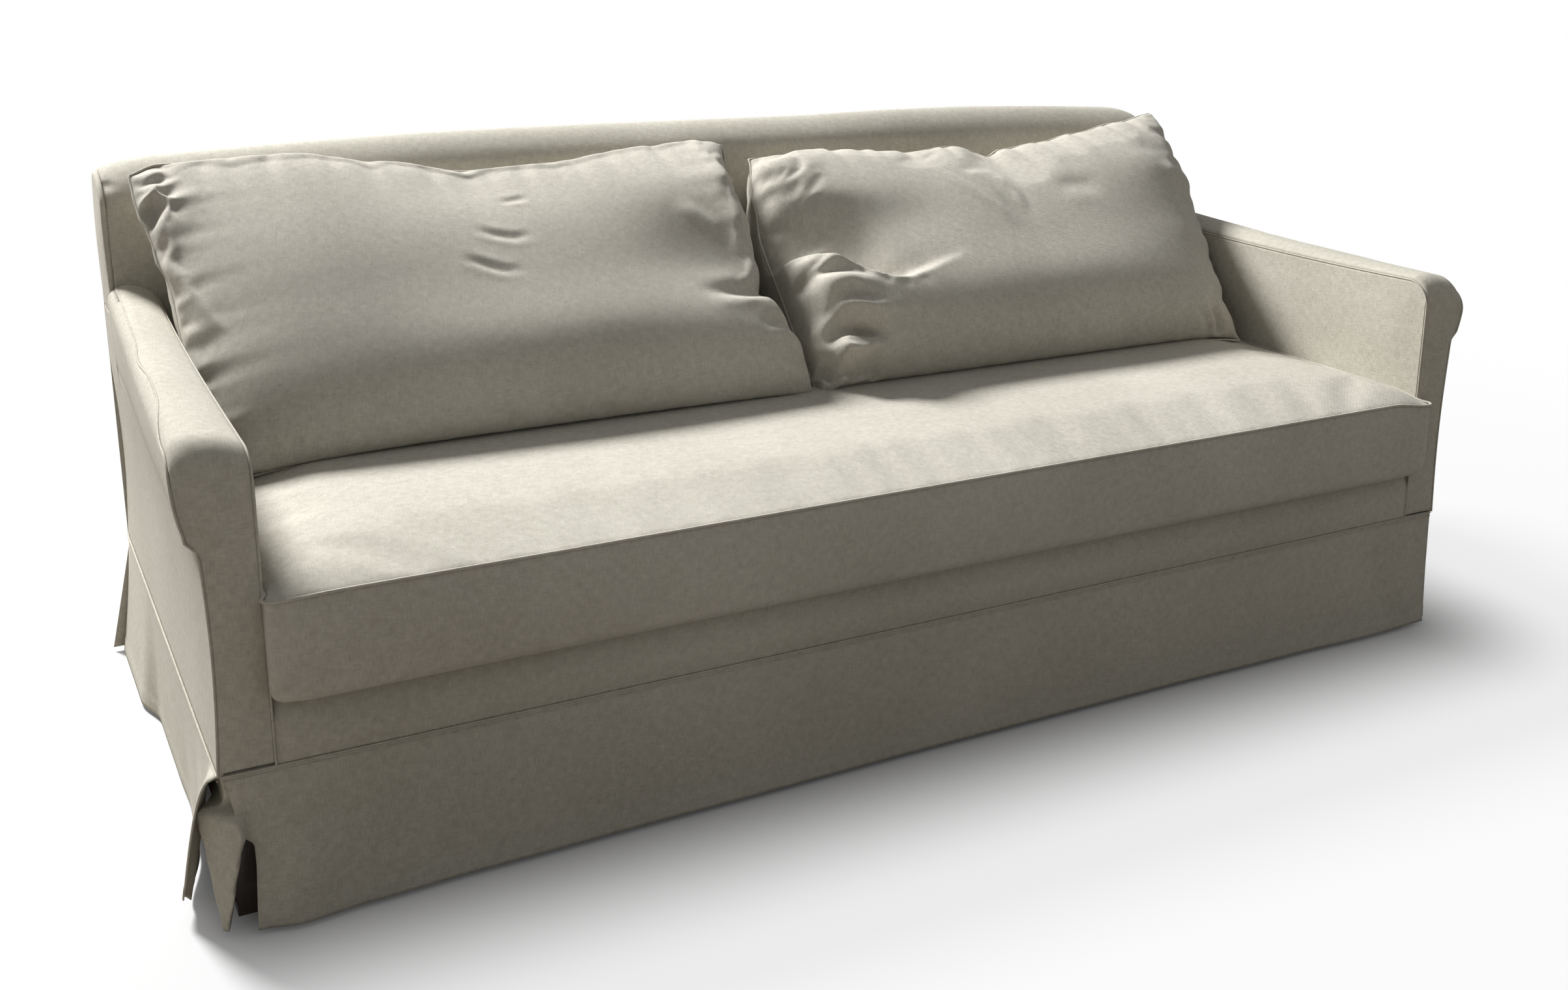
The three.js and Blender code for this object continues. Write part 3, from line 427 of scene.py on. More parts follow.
RAKE = (BACK_AT_SEAT - BACK_AT_TOP) / (CREST_FOOT - DECK)


def smooth_step(value):
    """From 0 to 1 with a soft start and a soft end."""
    share = np.clip(value, 0, 1)
    return share * share * (3 - 2 * share)


def back_face(z):
    return BACK - BACK_AT_SEAT + RAKE * (z - DECK)


def crest_seat(x):
    return CREST_FOOT + CAMEL_RISE * (1 - (x / OUTER) ** 2)


def crest_top(x):
    """The padded arch. The used padding has settled a little, most of all behind the middle."""
    into = np.clip((np.abs(x) - OUTER + CREST_SHOULDER) / CREST_SHOULDER, 0, 1)
    settled = np.interp(x, CREST_PLACES, CREST_SETTLED)
    return crest_seat(x) + CREST_PAD - settled - SHOULDER_DROP * (1 - np.sqrt(1 - into**2))


def crest_rise(turn):
    """How high the crest is on its way from the front (0) to the back (pi): it slopes up to the back."""
    return np.sin(turn) ** CREST_POWER * (1 - CREST_TILT * np.cos(turn)) / CREST_PEAK


print("seam", round(SEAM, 3), "front", round(FRONT, 3), "back", round(BACK, 3), "deck", round(DECK, 3))

# %% [markdown]
# ## Tools for cloth pieces
# A sewn panel starts as a flat grid, as it does on the cutting table, and each of its points then moves
# to its place on the sofa. A padded piece is two such grids, its face and its lining, joined at the rim.
# The grain is a UV map in metres along the two directions that a face lies in.

# %% Grids that are moved into place
def grid_into(bm, across, up, place):
    made = bmesh.ops.create_grid(bm, x_segments=across, y_segments=up, size=0.5)["verts"]
    flat = np.array([vert.co for vert in made])
    for vert, point in zip(made, place(flat[:, 0] + 0.5, flat[:, 1] + 0.5)):
        vert.co = point
    return made


def as_object(bm, name):
    mesh = bpy.data.meshes.new(name)
    bm.to_mesh(mesh)
    bm.free()
    piece = bpy.data.objects.new(name, mesh)
    scene.collection.objects.link(piece)
    return piece


def one_panel(name, across, up, place):
    bm = bmesh.new()
    grid_into(bm, across, up, place)
    return as_object(bm, name)


def two_faced(name, across, up, face, lining, sewn_edge=False):
    """A closed pad of two grids. With sewn_edge their rims lie on each other, as on a pillow."""
    bm = bmesh.new()
    grid_into(bm, across, up, face)
    inner = grid_into(bm, across, up, lining)
    bmesh.ops.reverse_faces(bm, faces=list({f for vert in inner for f in vert.link_faces}))
    if not sewn_edge:
        bmesh.ops.bridge_loops(bm, edges=[edge for edge in bm.edges if edge.is_boundary])
    bmesh.ops.remove_doubles(bm, verts=bm.verts, dist=0.00002)
    bmesh.ops.recalc_face_normals(bm, faces=bm.faces)
    return as_object(bm, name)


def coordinates(piece):
    flat = np.empty(len(piece.data.vertices) * 3)
    piece.data.vertices.foreach_get("co", flat)
    return flat.reshape(-1, 3)


def set_coordinates(piece, points):
    piece.data.vertices.foreach_set("co", np.asarray(points, float).ravel())
    piece.data.update()


# %% Grain, seams and the last steps of a piece
def lay_grain(piece, lean=0.0):
    """UV in metres. Lean turns the three directions of the grain about X, for a piece that leans."""
    mesh = piece.data
    turn = np.array(Matrix.Rotation(lean, 3, "X"))
    points = coordinates(piece) @ turn.T
    normals = np.empty(len(mesh.polygons) * 3)
    mesh.polygons.foreach_get("normal", normals)
    normals = np.abs(normals.reshape(-1, 3) @ turn.T)
    counts = np.empty(len(mesh.polygons), int)
    mesh.polygons.foreach_get("loop_total", counts)
    corner = np.empty(len(mesh.loops), int)
    mesh.loops.foreach_get("vertex_index", corner)
    facing = np.repeat(normals.argmax(axis=1), counts)
    first = np.where(facing == 0, 1, 0)
    second = np.where(facing == 2, 1, 2)
    place = points[corner]
    rows = np.arange(len(corner))
    layer = mesh.uv_layers.new(name="grain")
    layer.data.foreach_set("uv", np.column_stack([place[rows, first], place[rows, second]]).ravel())


def finish_piece(piece, material, body, replaces=(), levels=1, lean=0.0):
    lay_grain(piece, lean)
    piece.data.materials.append(material)
    piece.data.polygons.foreach_set("use_smooth", [True] * len(piece.data.polygons))
    if levels:
        smooth = piece.modifiers.new("fine_surface", "SUBSURF")
        smooth.levels = levels
        smooth.render_levels = levels
    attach(piece, body)
    if replaces:
        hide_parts(*replaces)
    return piece


def seam_cord(name, points, radius, body, closed=False, material=LINEN):
    """A thin cord of cloth sewn into a seam."""
    data = bpy.data.curves.new(name, "CURVE")
    data.dimensions = "3D"
    data.bevel_depth = radius
    data.bevel_resolution = 1
    data.use_fill_caps = True
    spline = data.splines.new("POLY")
    spline.points.add(len(points) - 1)
    for knot, point in zip(spline.points, points):
        knot.co = (*point, 1)
    spline.use_cyclic_u = closed
    drawn = bpy.data.objects.new(name, data)
    scene.collection.objects.link(drawn)
    bpy.context.view_layer.update()
    mesh = bpy.data.meshes.new_from_object(drawn.evaluated_get(bpy.context.evaluated_depsgraph_get()))
    bpy.data.objects.remove(drawn)
    piece = bpy.data.objects.new(name, mesh)
    scene.collection.objects.link(piece)
    mesh.materials.clear()
    for old in list(mesh.uv_layers):
        mesh.uv_layers.remove(old)
    return finish_piece(piece, material, body, levels=0)


# %% [markdown]
# ## Padding that behaves like cloth
# A stuffed cover isn't a smooth solid: its cloth is a little too large and the filling pushes it out, so
# it buckles between its seams. The cloth simulation does this. The seams are held, the cloth gets some
# slack and some pressure from inside, and no point may move further than a cap.

# %% Cloth simulation
CLOTH_FRAMES = 14


def puff(piece, held, pressure, slack, cap, bending=3.0):
    before = coordinates(piece)
    seams = piece.vertex_groups.new(name="seams")
    seams.add([int(i) for i in held], 1.0, "REPLACE")
    cloth = piece.modifiers.new("cloth", "CLOTH")
    settings = cloth.settings
    settings.quality = 5
    settings.mass = 0.4
    settings.tension_stiffness = 25
    settings.compression_stiffness = 25
    settings.shear_stiffness = 8
    settings.bending_stiffness = bending
    settings.use_pressure = True
    settings.uniform_pressure_force = pressure
    settings.vertex_group_mass = "seams"
    settings.shrink_min = -slack
    settings.effector_weights.gravity = 0
    cloth.point_cache.frame_start = 1
    cloth.point_cache.frame_end = CLOTH_FRAMES
    for step in range(1, CLOTH_FRAMES + 1):
        scene.frame_set(step)
    moved = piece.evaluated_get(bpy.context.evaluated_depsgraph_get())
    after = np.empty(len(before) * 3)
    moved.data.vertices.foreach_get("co", after)
    piece.modifiers.remove(cloth)
    scene.frame_set(1)
    step = after.reshape(-1, 3) - before
    length = np.linalg.norm(step, axis=1, keepdims=True)
    set_coordinates(piece, before + step * np.minimum(1, cap / np.maximum(length, 1e-9)))
    print(piece.name, "moved up to", round(float(length.max()) * 1000, 1), "mm, capped at", cap * 1000)


# %% [markdown]
# ## The seat cushion
# One boxed bench cushion lies on the deck. Its top is crowned, its sides are a straight strip called the
# boxing, and the seam between them carries a thin cord. A grid for the top and one for the bottom, joined
# by rings for the boxing, keep the seam as one clean loop of edges.

# %% Seat cushion
CUSHION_LOW, CUSHION_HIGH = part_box("seat_cushion_cover")
CUSHION_BOXING = 0.133
CUSHION_CORNER = 0.014
CORNER_CLEAR = 0.005
CORNER_SWELL = 0.008
CORNER_LENGTH = 0.060
FRONT_DROOP = 0.014
CORNER_DROPS = (0.002, 0.011)
CORNER_REACH = 0.10
CUSHION_SEAM = CUSHION_LOW.z + CUSHION_BOXING
CUSHION_CROWN = CUSHION_HIGH.z - CUSHION_SEAM
CUSHION_CENTRE = (CUSHION_LOW.y + CUSHION_HIGH.y) / 2
CUSHION_HALF = ((CUSHION_HIGH.x - CUSHION_LOW.x) / 2, (CUSHION_HIGH.y - CUSHION_LOW.y) / 2)
BASE_EDGE = 0.010
BOXING_RINGS = 14
SEAT_COLUMNS = 150
SEAT_ROWS = 64
WELT = 0.0023


def seat_plan(u, v):
    """A rectangle with rounded corners, from a unit square. In front of the arms it swells sideways."""
    half_x, half_y = CUSHION_HALF
    x = (2 * u - 1) * half_x
    y = (2 * v - 1) * half_y
    over_x = np.clip(np.abs(x) - half_x + CUSHION_CORNER, 0, None) / CUSHION_CORNER
    over_y = np.clip(np.abs(y) - half_y + CUSHION_CORNER, 0, None) / CUSHION_CORNER
    x = x - np.sign(x) * CUSHION_CORNER * over_x * (1 - np.sqrt(1 - over_y**2 / 2))
    y = y - np.sign(y) * CUSHION_CORNER * over_y * (1 - np.sqrt(1 - over_x**2 / 2))
    in_front = smooth_step((FRONT - CORNER_CLEAR - y - CUSHION_CENTRE) / (CUSHION_CORNER + CORNER_CLEAR))
    near_end = smooth_step((np.abs(x) - half_x + CORNER_LENGTH) / CORNER_LENGTH)
    return x + np.sign(x) * CORNER_SWELL * in_front * near_end, y


def seat_top(x, y):
    """The height of the crowned top, from how far in a place is from the seam."""
    in_x = np.clip(CUSHION_HALF[0] - np.abs(x), 0, None)
    in_y = CUSHION_HALF[1] - np.abs(y - CUSHION_CENTRE)
    share = np.clip(np.minimum(in_x, in_y) / CUSHION_HALF[1], 0, 1)
    corner = np.clip((in_x + in_y) / 0.05, 0, 1)
    return CUSHION_SEAM + CUSHION_CROWN * (1 - (1 - share) ** 5) ** 0.8 * corner


def drop_corners(points):
    """The two front corners hang a little, because the filling has moved away from them."""
    x, y, z = points.T
    across = smooth_step((np.abs(x) - CUSHION_HALF[0] + CORNER_REACH) / CORNER_REACH)
    deep = smooth_step((CUSHION_LOW.y + CORNER_REACH - y) / CORNER_REACH)
    rise = np.clip((z - CUSHION_LOW.z) / CUSHION_BOXING, 0, 1)
    return np.column_stack([x, y, z - np.where(x < 0, *CORNER_DROPS) * across * deep * rise])


def make_seat_cushion():
    bm = bmesh.new()

    def top(u, v):
        x, y = seat_plan(u, v)
        return np.column_stack([x, y + CUSHION_CENTRE, seat_top(x, y + CUSHION_CENTRE)])

    def base(u, v):
        x, y = seat_plan(u, v)
        return np.column_stack([x, y + CUSHION_CENTRE, np.full(len(x), CUSHION_LOW.z)])

    grid_into(bm, SEAT_COLUMNS, SEAT_ROWS, top)
    under = grid_into(bm, SEAT_COLUMNS, SEAT_ROWS, base)
    bmesh.ops.reverse_faces(bm, faces=list({f for vert in under for f in vert.link_faces}))
    boxing = bmesh.ops.bridge_loops(bm, edges=[edge for edge in bm.edges if edge.is_boundary])
    uprights = {edge for face in boxing["faces"] for edge in face.edges
                if abs(edge.verts[0].co.z - edge.verts[1].co.z) > CUSHION_BOXING / 2}
    bmesh.ops.subdivide_edges(bm, edges=list(uprights), cuts=BOXING_RINGS, use_grid_fill=True)
    bmesh.ops.recalc_face_normals(bm, faces=bm.faces)
    return as_object(bm, "seat_cushion")


def shape_boxing(piece):
    """Rounds the bottom edge and lets the boxing swell a little between its two seams."""
    points = coordinates(piece)
    rise = (points[:, 2] - CUSHION_LOW.z) / CUSHION_BOXING
    across = np.abs(points[:, 0]) / CUSHION_HALF[0]
    deep = np.abs(points[:, 1] - CUSHION_CENTRE) / CUSHION_HALF[1]
    on_side = (rise < 0.999) & (np.maximum(across, deep) > 0.985)
    low = np.clip(1 - rise * CUSHION_BOXING / BASE_EDGE, 0, 1)
    inset = BASE_EDGE * (1 - np.sqrt(1 - low**2)) + 0.003 * np.abs(2 * rise - 1) ** 3
    scale_x = 1 - inset / CUSHION_HALF[0]
    scale_y = 1 - inset / CUSHION_HALF[1]
    points[on_side, 0] *= scale_x[on_side]
    points[on_side, 1] = CUSHION_CENTRE + (points[on_side, 1] - CUSHION_CENTRE) * scale_y[on_side]
    overhang = smooth_step((FRONT - 2 * CORNER_CLEAR - points[:, 1]) / CORNER_CLEAR)
    points[:, 2] -= FRONT_DROOP * overhang * np.clip(1 - rise, 0, 1)
    set_coordinates(piece, points)


def level_loop(piece, height, tolerance):
    """The outermost loop of points near a height, in turning order."""
    points = coordinates(piece)
    near = points[np.abs(points[:, 2] - height) < tolerance]
    turn = np.arctan2((near[:, 1] - CUSHION_CENTRE) / CUSHION_HALF[1], near[:, 0] / CUSHION_HALF[0])
    return near[np.argsort(turn)]


seat_cushion = make_seat_cushion()
shape_boxing(seat_cushion)
seat_rim = level_loop(seat_cushion, CUSHION_SEAM, 0.0004)
seat_points = coordinates(seat_cushion)
seat_low = seat_points[:, 2] < DECK + BASE_EDGE / 2
seat_held = np.flatnonzero((np.abs(seat_points[:, 2] - CUSHION_SEAM) < 0.0004) | seat_low)
puff(seat_cushion, seat_held, pressure=1.0, slack=0.004, cap=0.005)
set_coordinates(seat_cushion, drop_corners(coordinates(seat_cushion)))
seat_rim = drop_corners(seat_rim)
finish_piece(seat_cushion, CUSHION_LINEN, "seat_cushion", ["seat_cushion_cover"])
seam_cord("seat_cushion_welt", seat_rim, WELT, "seat_cushion", closed=True,
          material=CUSHION_LINEN)
print("seat cushion", len(seat_cushion.data.vertices), "points, front at", round(CUSHION_LOW.y, 4))

# %% [markdown]
# ## The back cushions
# Two soft cushions lean on the back. Each is a cover of two panels sewn edge to edge and loosely filled
# with down, so it slumps, its edges wave and its cloth folds where the filling has moved away. A pillow
# is drawn in its own plane, across and up, with a swell in front and behind. Long folds are drawn as
# lines that push the cloth in or out, and the cloth simulation adds the small ones.

# %% Pillow tools
PILLOW_HEIGHT = 0.585
PILLOW_LEAN = math.radians(45)
PILLOW_GAP = 0.014
PILLOW_FOOT = 0.400
PILLOW_SINK = 0.015
FRONT_SWELL = 0.095
BACK_SWELL = 0.180
SLUMP = 0.27
ROUNDED = (2.1, 4)
EASE = 0.002
PILLOW_COLUMNS = 148
PILLOW_ROWS = 84
LINE_BLEND = 0.012
LIP_PART = 0.35
LIP_REACH = 0.7
PILLOW_WIDTH = INNER - EASE - PILLOW_GAP / 2
PILLOW_UP = np.array([0, math.sin(PILLOW_LEAN), math.cos(PILLOW_LEAN)])
PILLOW_OUT = np.array([0, -math.cos(PILLOW_LEAN), math.sin(PILLOW_LEAN)])


def pillow_centre(side):
    half = PILLOW_HEIGHT / 2
    return np.array([side * (PILLOW_GAP + PILLOW_WIDTH) / 2,
                     back_face(CUSHION_HIGH.z) - PILLOW_FOOT + half * math.sin(PILLOW_LEAN),
                     CUSHION_HIGH.z - PILLOW_SINK + half * math.cos(PILLOW_LEAN)])


def along_line(places, values, at):
    """A smooth line through a few places."""
    at = np.clip(at, places[0], places[-1])
    index = np.clip(np.searchsorted(places, at) - 1, 0, len(places) - 2)
    start, end = np.array(places)[index], np.array(places)[index + 1]
    share = smooth_step((at - start) / (end - start))
    return np.array(values)[index] * (1 - share) + np.array(values)[index + 1] * share


def distance_to(line, a, b):
    """The distance to a line of points, how much a place is on its left, and its share along the line."""
    aways, lefts, alongs = [], [], []
    for number, ((a0, b0), (a1, b1)) in enumerate(zip(line, line[1:])):
        run = np.array([a1 - a0, b1 - b0])
        share = np.clip(((a - a0) * run[0] + (b - b0) * run[1]) / (run @ run), 0, 1)
        away_a, away_b = a - a0 - share * run[0], b - b0 - share * run[1]
        away = np.hypot(away_a, away_b)
        turn = (run[0] * away_b - run[1] * away_a) / (np.hypot(*run) * np.maximum(away, 1e-9))
        aways.append(away)
        lefts.append(smooth_step(0.5 + 0.5 * turn))
        alongs.append((number + share) / (len(line) - 1))
    nearest = np.min(aways, axis=0)
    weight = np.exp((nearest - aways) / LINE_BLEND)
    weight = weight / weight.sum(axis=0)
    return nearest, (weight * lefts).sum(axis=0), (weight * alongs).sum(axis=0)


def fold_out(folds, a, b):
    """How far the folds push the cloth out, and in where it is negative. A shelf drops on its left."""
    out = np.zeros(len(a))
    for kind, depth, width, reach, (start_fade, end_fade), line in folds:
        away, left, along = distance_to(line, a, b)
        strength = depth * smooth_step(along / start_fade) * smooth_step((1 - along) / end_fade)
        if kind == "crease":
            out -= strength * np.exp(-((away / width) ** 2))
            out += 0.35 * strength * np.exp(-(((away - 2.2 * width) / width) ** 2))
        elif kind == "ridge":
            out += strength * np.exp(-((away / width) ** 2))
        else:
            ramp = (smooth_step(away / width) * smooth_step(1.5 * (1 - away / reach))
                    * np.clip(1 - away / reach, 0, 1))
            out -= strength * left * ramp
            lip = width * left + LIP_REACH * reach * (1 - left)
            out += LIP_PART * strength * np.exp(-((away / lip) ** 2))
    return out


def dent_out(dents, a, b):
    out = np.zeros(len(a))
    for (centre_a, centre_b), (wide, high), depth in dents:
        out += depth * np.exp(-(((a - centre_a) / wide) ** 2) - ((b - centre_b) / high) ** 2)
    return out


def pucker(along, from_seam, seed):
    """Small gathers beside a seam, at uneven distances."""
    waves = sum(np.sin(along * pitch + seed * shift) * part for pitch, shift, part in
                ((118, 1.7, 0.45), (73, 3.1, 0.35), (191, 5.3, 0.2)))
    return waves * np.exp(-from_seam / 0.035) * (1 - np.exp(-from_seam / 0.008))


print("pillow", round(PILLOW_WIDTH, 3), "m wide,", PILLOW_HEIGHT, "m high, leaning 45 degrees")


# %% The two pillows' outlines and folds
# Edges are pairs of a place along the edge and how far it stands out from the plain rectangle. A fold is
# its kind, depth, width, reach, how fast it fades towards its ends, and its line in the pillow's plane.
LEFT_FOLDS = [
    ("crease", 0.005, 0.007, 0, (0.4, 0.5),
     [(-0.035, 0.081), (-0.003, 0.061), (0.028, 0.050), (0.070, 0.054)]),
    ("crease", 0.005, 0.007, 0, (0.4, 0.5),
     [(-0.066, 0.014), (-0.045, 0.000), (-0.010, -0.020), (0.030, -0.025)]),
    ("crease", 0.004, 0.006, 0, (0.4, 0.4), [(0.035, 0.144), (0.058, 0.146), (0.085, 0.150)]),
    ("shelf", 0.040, 0.012, 0.050, (0.1, 0.1),
     [(-0.518, 0.130), (-0.511, 0.159), (-0.500, 0.176), (-0.488, 0.202), (-0.509, 0.225),
      (-0.533, 0.213)]),
    ("crease", 0.010, 0.008, 0, (0.2, 0.3),
     [(-0.536, 0.262), (-0.520, 0.250), (-0.500, 0.254), (-0.480, 0.268)]),
    ("crease", 0.008, 0.007, 0, (0.3, 0.3), [(-0.512, 0.136), (-0.508, 0.117), (-0.511, 0.095)]),
    ("crease", 0.008, 0.009, 0, (0.3, 0.3), [(-0.512, 0.056), (-0.503, 0.040), (-0.503, 0.018)]),
    ("crease", 0.007, 0.010, 0, (0.3, 0.3), [(-0.504, 0.005), (-0.494, -0.010), (-0.494, -0.045)]),
    ("ridge", 0.006, 0.016, 0, (0.4, 0.4), [(0.335, 0.105), (0.377, 0.055), (0.410, 0.005)]),
    ("shelf", 0.010, 0.030, 0.080, (0.3, 0.5), [(0.475, 0.215), (0.455, 0.150), (0.400, 0.105)]),
    ("crease", 0.012, 0.014, 0, (0.1, 0.5), [(0.52, -0.10), (0.42, -0.105), (0.30, -0.10)]),
    ("crease", 0.009, 0.010, 0, (0.1, 0.5), [(0.51, -0.19), (0.45, -0.175), (0.40, -0.18)]),
]
RIGHT_FOLDS = [
    ("shelf", 0.072, 0.015, 0.230, (0.02, 0.60),
     [(-0.560, -0.036), (-0.500, -0.038), (-0.482, -0.048), (-0.464, -0.060), (-0.438, -0.078),
      (-0.412, -0.097), (-0.384, -0.114), (-0.344, -0.130), (-0.309, -0.131), (-0.260, -0.118),
      (-0.200, -0.100), (-0.140, -0.085)]),
    ("shelf", 0.044, 0.018, 0.080, (0.35, 0.05),
     [(-0.330, -0.240), (-0.370, -0.234), (-0.398, -0.221), (-0.413, -0.207), (-0.436, -0.192),
      (-0.462, -0.176), (-0.474, -0.158), (-0.478, -0.139), (-0.480, -0.116), (-0.484, -0.080)]),
    ("crease", 0.016, 0.012, 0, (0.1, 0.6),
     [(-0.500, -0.090), (-0.472, -0.100), (-0.452, -0.104), (-0.423, -0.113), (-0.360, -0.135)]),
    ("crease", 0.012, 0.010, 0, (0.1, 0.6),
     [(-0.480, -0.160), (-0.450, -0.165), (-0.420, -0.180), (-0.350, -0.190)]),
    ("shelf", 0.036, 0.014, 0.050, (0.05, 0.5),
     [(-0.478, -0.285), (-0.479, -0.253), (-0.478, -0.238), (-0.468, -0.226), (-0.431, -0.236),
      (-0.398, -0.242), (-0.340, -0.246)]),
    ("crease", 0.030, 0.009, 0, (0.1, 0.2),
     [(-0.512, -0.245), (-0.488, -0.264), (-0.454, -0.278), (-0.415, -0.276), (-0.405, -0.288)]),
    ("ridge", 0.010, 0.030, 0, (0.3, 0.1), [(-0.340, 0.170), (-0.430, 0.190), (-0.540, 0.200)]),
    ("ridge", 0.004, 0.012, 0, (0.4, 0.4),
     [(-0.118, 0.160), (-0.078, 0.085), (-0.039, 0.022), (-0.019, -0.047)]),
    ("ridge", 0.004, 0.010, 0, (0.4, 0.4), [(-0.060, 0.163), (-0.030, 0.088), (-0.010, 0.010)]),
    ("ridge", 0.004, 0.010, 0, (0.4, 0.4), [(0.000, 0.135), (0.028, 0.066), (0.020, -0.002)]),
    ("crease", 0.003, 0.018, 0, (0.4, 0.4), [(0.110, 0.065), (0.176, 0.067), (0.240, 0.059)]),
    ("crease", 0.004, 0.026, 0, (0.4, 0.4), [(0.40, 0.19), (0.44, 0.15), (0.46, 0.10)]),
    ("crease", 0.017, 0.010, 0, (0.3, 0.3), [(0.372, -0.236), (0.391, -0.262), (0.398, -0.285)]),
    ("crease", 0.006, 0.008, 0, (0.3, 0.3), [(0.325, -0.236), (0.352, -0.262), (0.362, -0.280)]),
]
PILLOWS = {
    "left": {
        "side": -1,
        "blunt": (4, 12),
        "top": [(-0.52, -0.014), (-0.46, 0.008), (-0.26, 0.012), (-0.12, -0.012), (0.02, -0.042),
                (0.15, -0.038), (0.35, -0.016), (0.47, -0.006), (0.52, -0.018)],
        "right": [(-0.29, -0.004), (-0.21, -0.012), (-0.14, -0.030), (-0.095, -0.054), (-0.04, -0.040),
                  (0.08, -0.020), (0.20, -0.008), (0.29, 0.008)],
        "left": [(-0.29, -0.002), (-0.05, 0.003), (0.03, 0.008), (0.097, 0.013), (0.147, 0.014),
                 (0.181, 0.019), (0.205, 0.026), (0.25, 0.029), (0.29, 0.030)],
        "folds": LEFT_FOLDS,
        "dents": [((0.37, 0.14), (0.12, 0.08), 0.010), ((0.38, -0.03), (0.13, 0.09), -0.014),
                  ((0.0, 0.20), (0.16, 0.08), -0.012),
                  ((0.10, -0.16), (0.30, 0.10), 0.012), ((-0.30, 0.05), (0.16, 0.14), 0.006),
                  ((0.46, 0.02), (0.05, 0.20), 0.030)],
        "seed": 1.0,
    },
    "right": {
        "side": 1,
        "blunt": (16, 4),
        "top": [(-0.47, -0.052), (-0.38, -0.042), (-0.27, -0.048), (-0.16, -0.060), (-0.06, -0.050),
                (-0.02, -0.060), (0.02, -0.082), (0.06, -0.066), (0.16, -0.054), (0.26, -0.036),
                (0.38, -0.014), (0.50, 0.008), (0.54, 0.006)],
        "right": [(-0.29, -0.044), (-0.24, -0.046), (-0.15, -0.030), (-0.03, 0.000), (0.12, 0.030),
                  (0.29, 0.052)],
        "left": [(-0.29, 0.007), (-0.24, 0.006), (-0.20, 0.012), (-0.13, 0.006), (-0.04, 0.004),
                 (0.02, 0.005), (0.07, 0.004), (0.18, -0.014), (0.22, -0.024), (0.29, -0.040)],
        "folds": RIGHT_FOLDS,
        "dents": [((-0.33, 0.02), (0.15, 0.060), -0.012), ((0.05, 0.18), (0.08, 0.06), -0.010),
                  ((0.40, 0.12), (0.14, 0.08), 0.010), ((0.0, -0.16), (0.30, 0.10), 0.012),
                  ((-0.435, -0.140), (0.060, 0.022), 0.012), ((-0.425, -0.195), (0.060, 0.020), 0.014),
                  ((-0.410, -0.254), (0.070, 0.022), 0.020)],
        "seed": 2.4,
    },
}


def pillow_places(plan, u, v):
    """Where each point of the cover lies in the pillow's plane, and its shares across and up."""
    across = 0.6 * (2 * u - 1) + 0.4 * np.sin(math.pi / 2 * (2 * u - 1))
    up = 0.6 * (2 * v - 1) + 0.4 * np.sin(math.pi / 2 * (2 * v - 1))
    half_x, half_z = PILLOW_WIDTH / 2, PILLOW_HEIGHT / 2
    edges = {name: tuple(zip(*plan[name])) for name in ("top", "right", "left")}
    right = half_x + along_line(*edges["right"], up * half_z)
    left = -half_x - along_line(*edges["left"], up * half_z)
    top = half_z + along_line(*edges["top"], across * half_x)
    a = left + (right - left) * (across + 1) / 2
    b = -half_z + (top + half_z) * (up + 1) / 2
    return a, b, across, up


def fullness(plan, across, up):
    """How much of its swell a pillow has at a place: none on the seam, all of it in the middle."""
    blunt = np.where(across < 0, *plan["blunt"])
    rounded = np.where(up > 0, *ROUNDED)
    return np.sqrt(np.clip((1 - np.abs(across) ** blunt) * (1 - np.abs(up) ** rounded), 0, None))


def press(points, gap=0.0012):
    """Flattens a pillow where the seat, the back and the arms stop it."""
    x, y, z = points.T
    z = np.maximum(z, seat_top(x, y) + gap)
    y = np.minimum(y, back_face(np.minimum(z, CREST_FOOT)) - gap)
    limit = INNER - EASE + 0.034 * smooth_step((z - 0.72) / 0.09)
    return np.column_stack([np.clip(x, -limit, limit), y, z])


def make_pillow(left_or_right):
    plan = PILLOWS[left_or_right]
    centre = pillow_centre(plan["side"])
    half_x, half_z = PILLOW_WIDTH / 2, PILLOW_HEIGHT / 2

    def cover(face, swell):
        def place(u, v):
            a, b, across, up = pillow_places(plan, u, v)
            full = fullness(plan, across, up)
            out = swell * full * (1 - SLUMP * up)
            if face > 0:
                inside = smooth_step(full * 3.5)
                out = out + inside * (fold_out(plan["folds"], a, b) + dent_out(plan["dents"], a, b))
            to_side = (1 - np.abs(across)) * half_x
            to_top = (1 - np.abs(up)) * half_z
            seed = plan["seed"] * face
            out = out + 0.008 * (pucker(b, to_side, seed) + pucker(a, to_top, seed + 2))
            points = (centre + np.outer(a, [1, 0, 0]) + np.outer(b, PILLOW_UP)
                      + np.outer(face * out, PILLOW_OUT))
            return press(points)
        return place

    return two_faced(f"back_cushion_{left_or_right}", PILLOW_COLUMNS, PILLOW_ROWS,
                     cover(1, FRONT_SWELL), cover(-1, BACK_SWELL), sewn_edge=True)


FILL_INSET = 0.030
FILL_DEPTH = 0.014


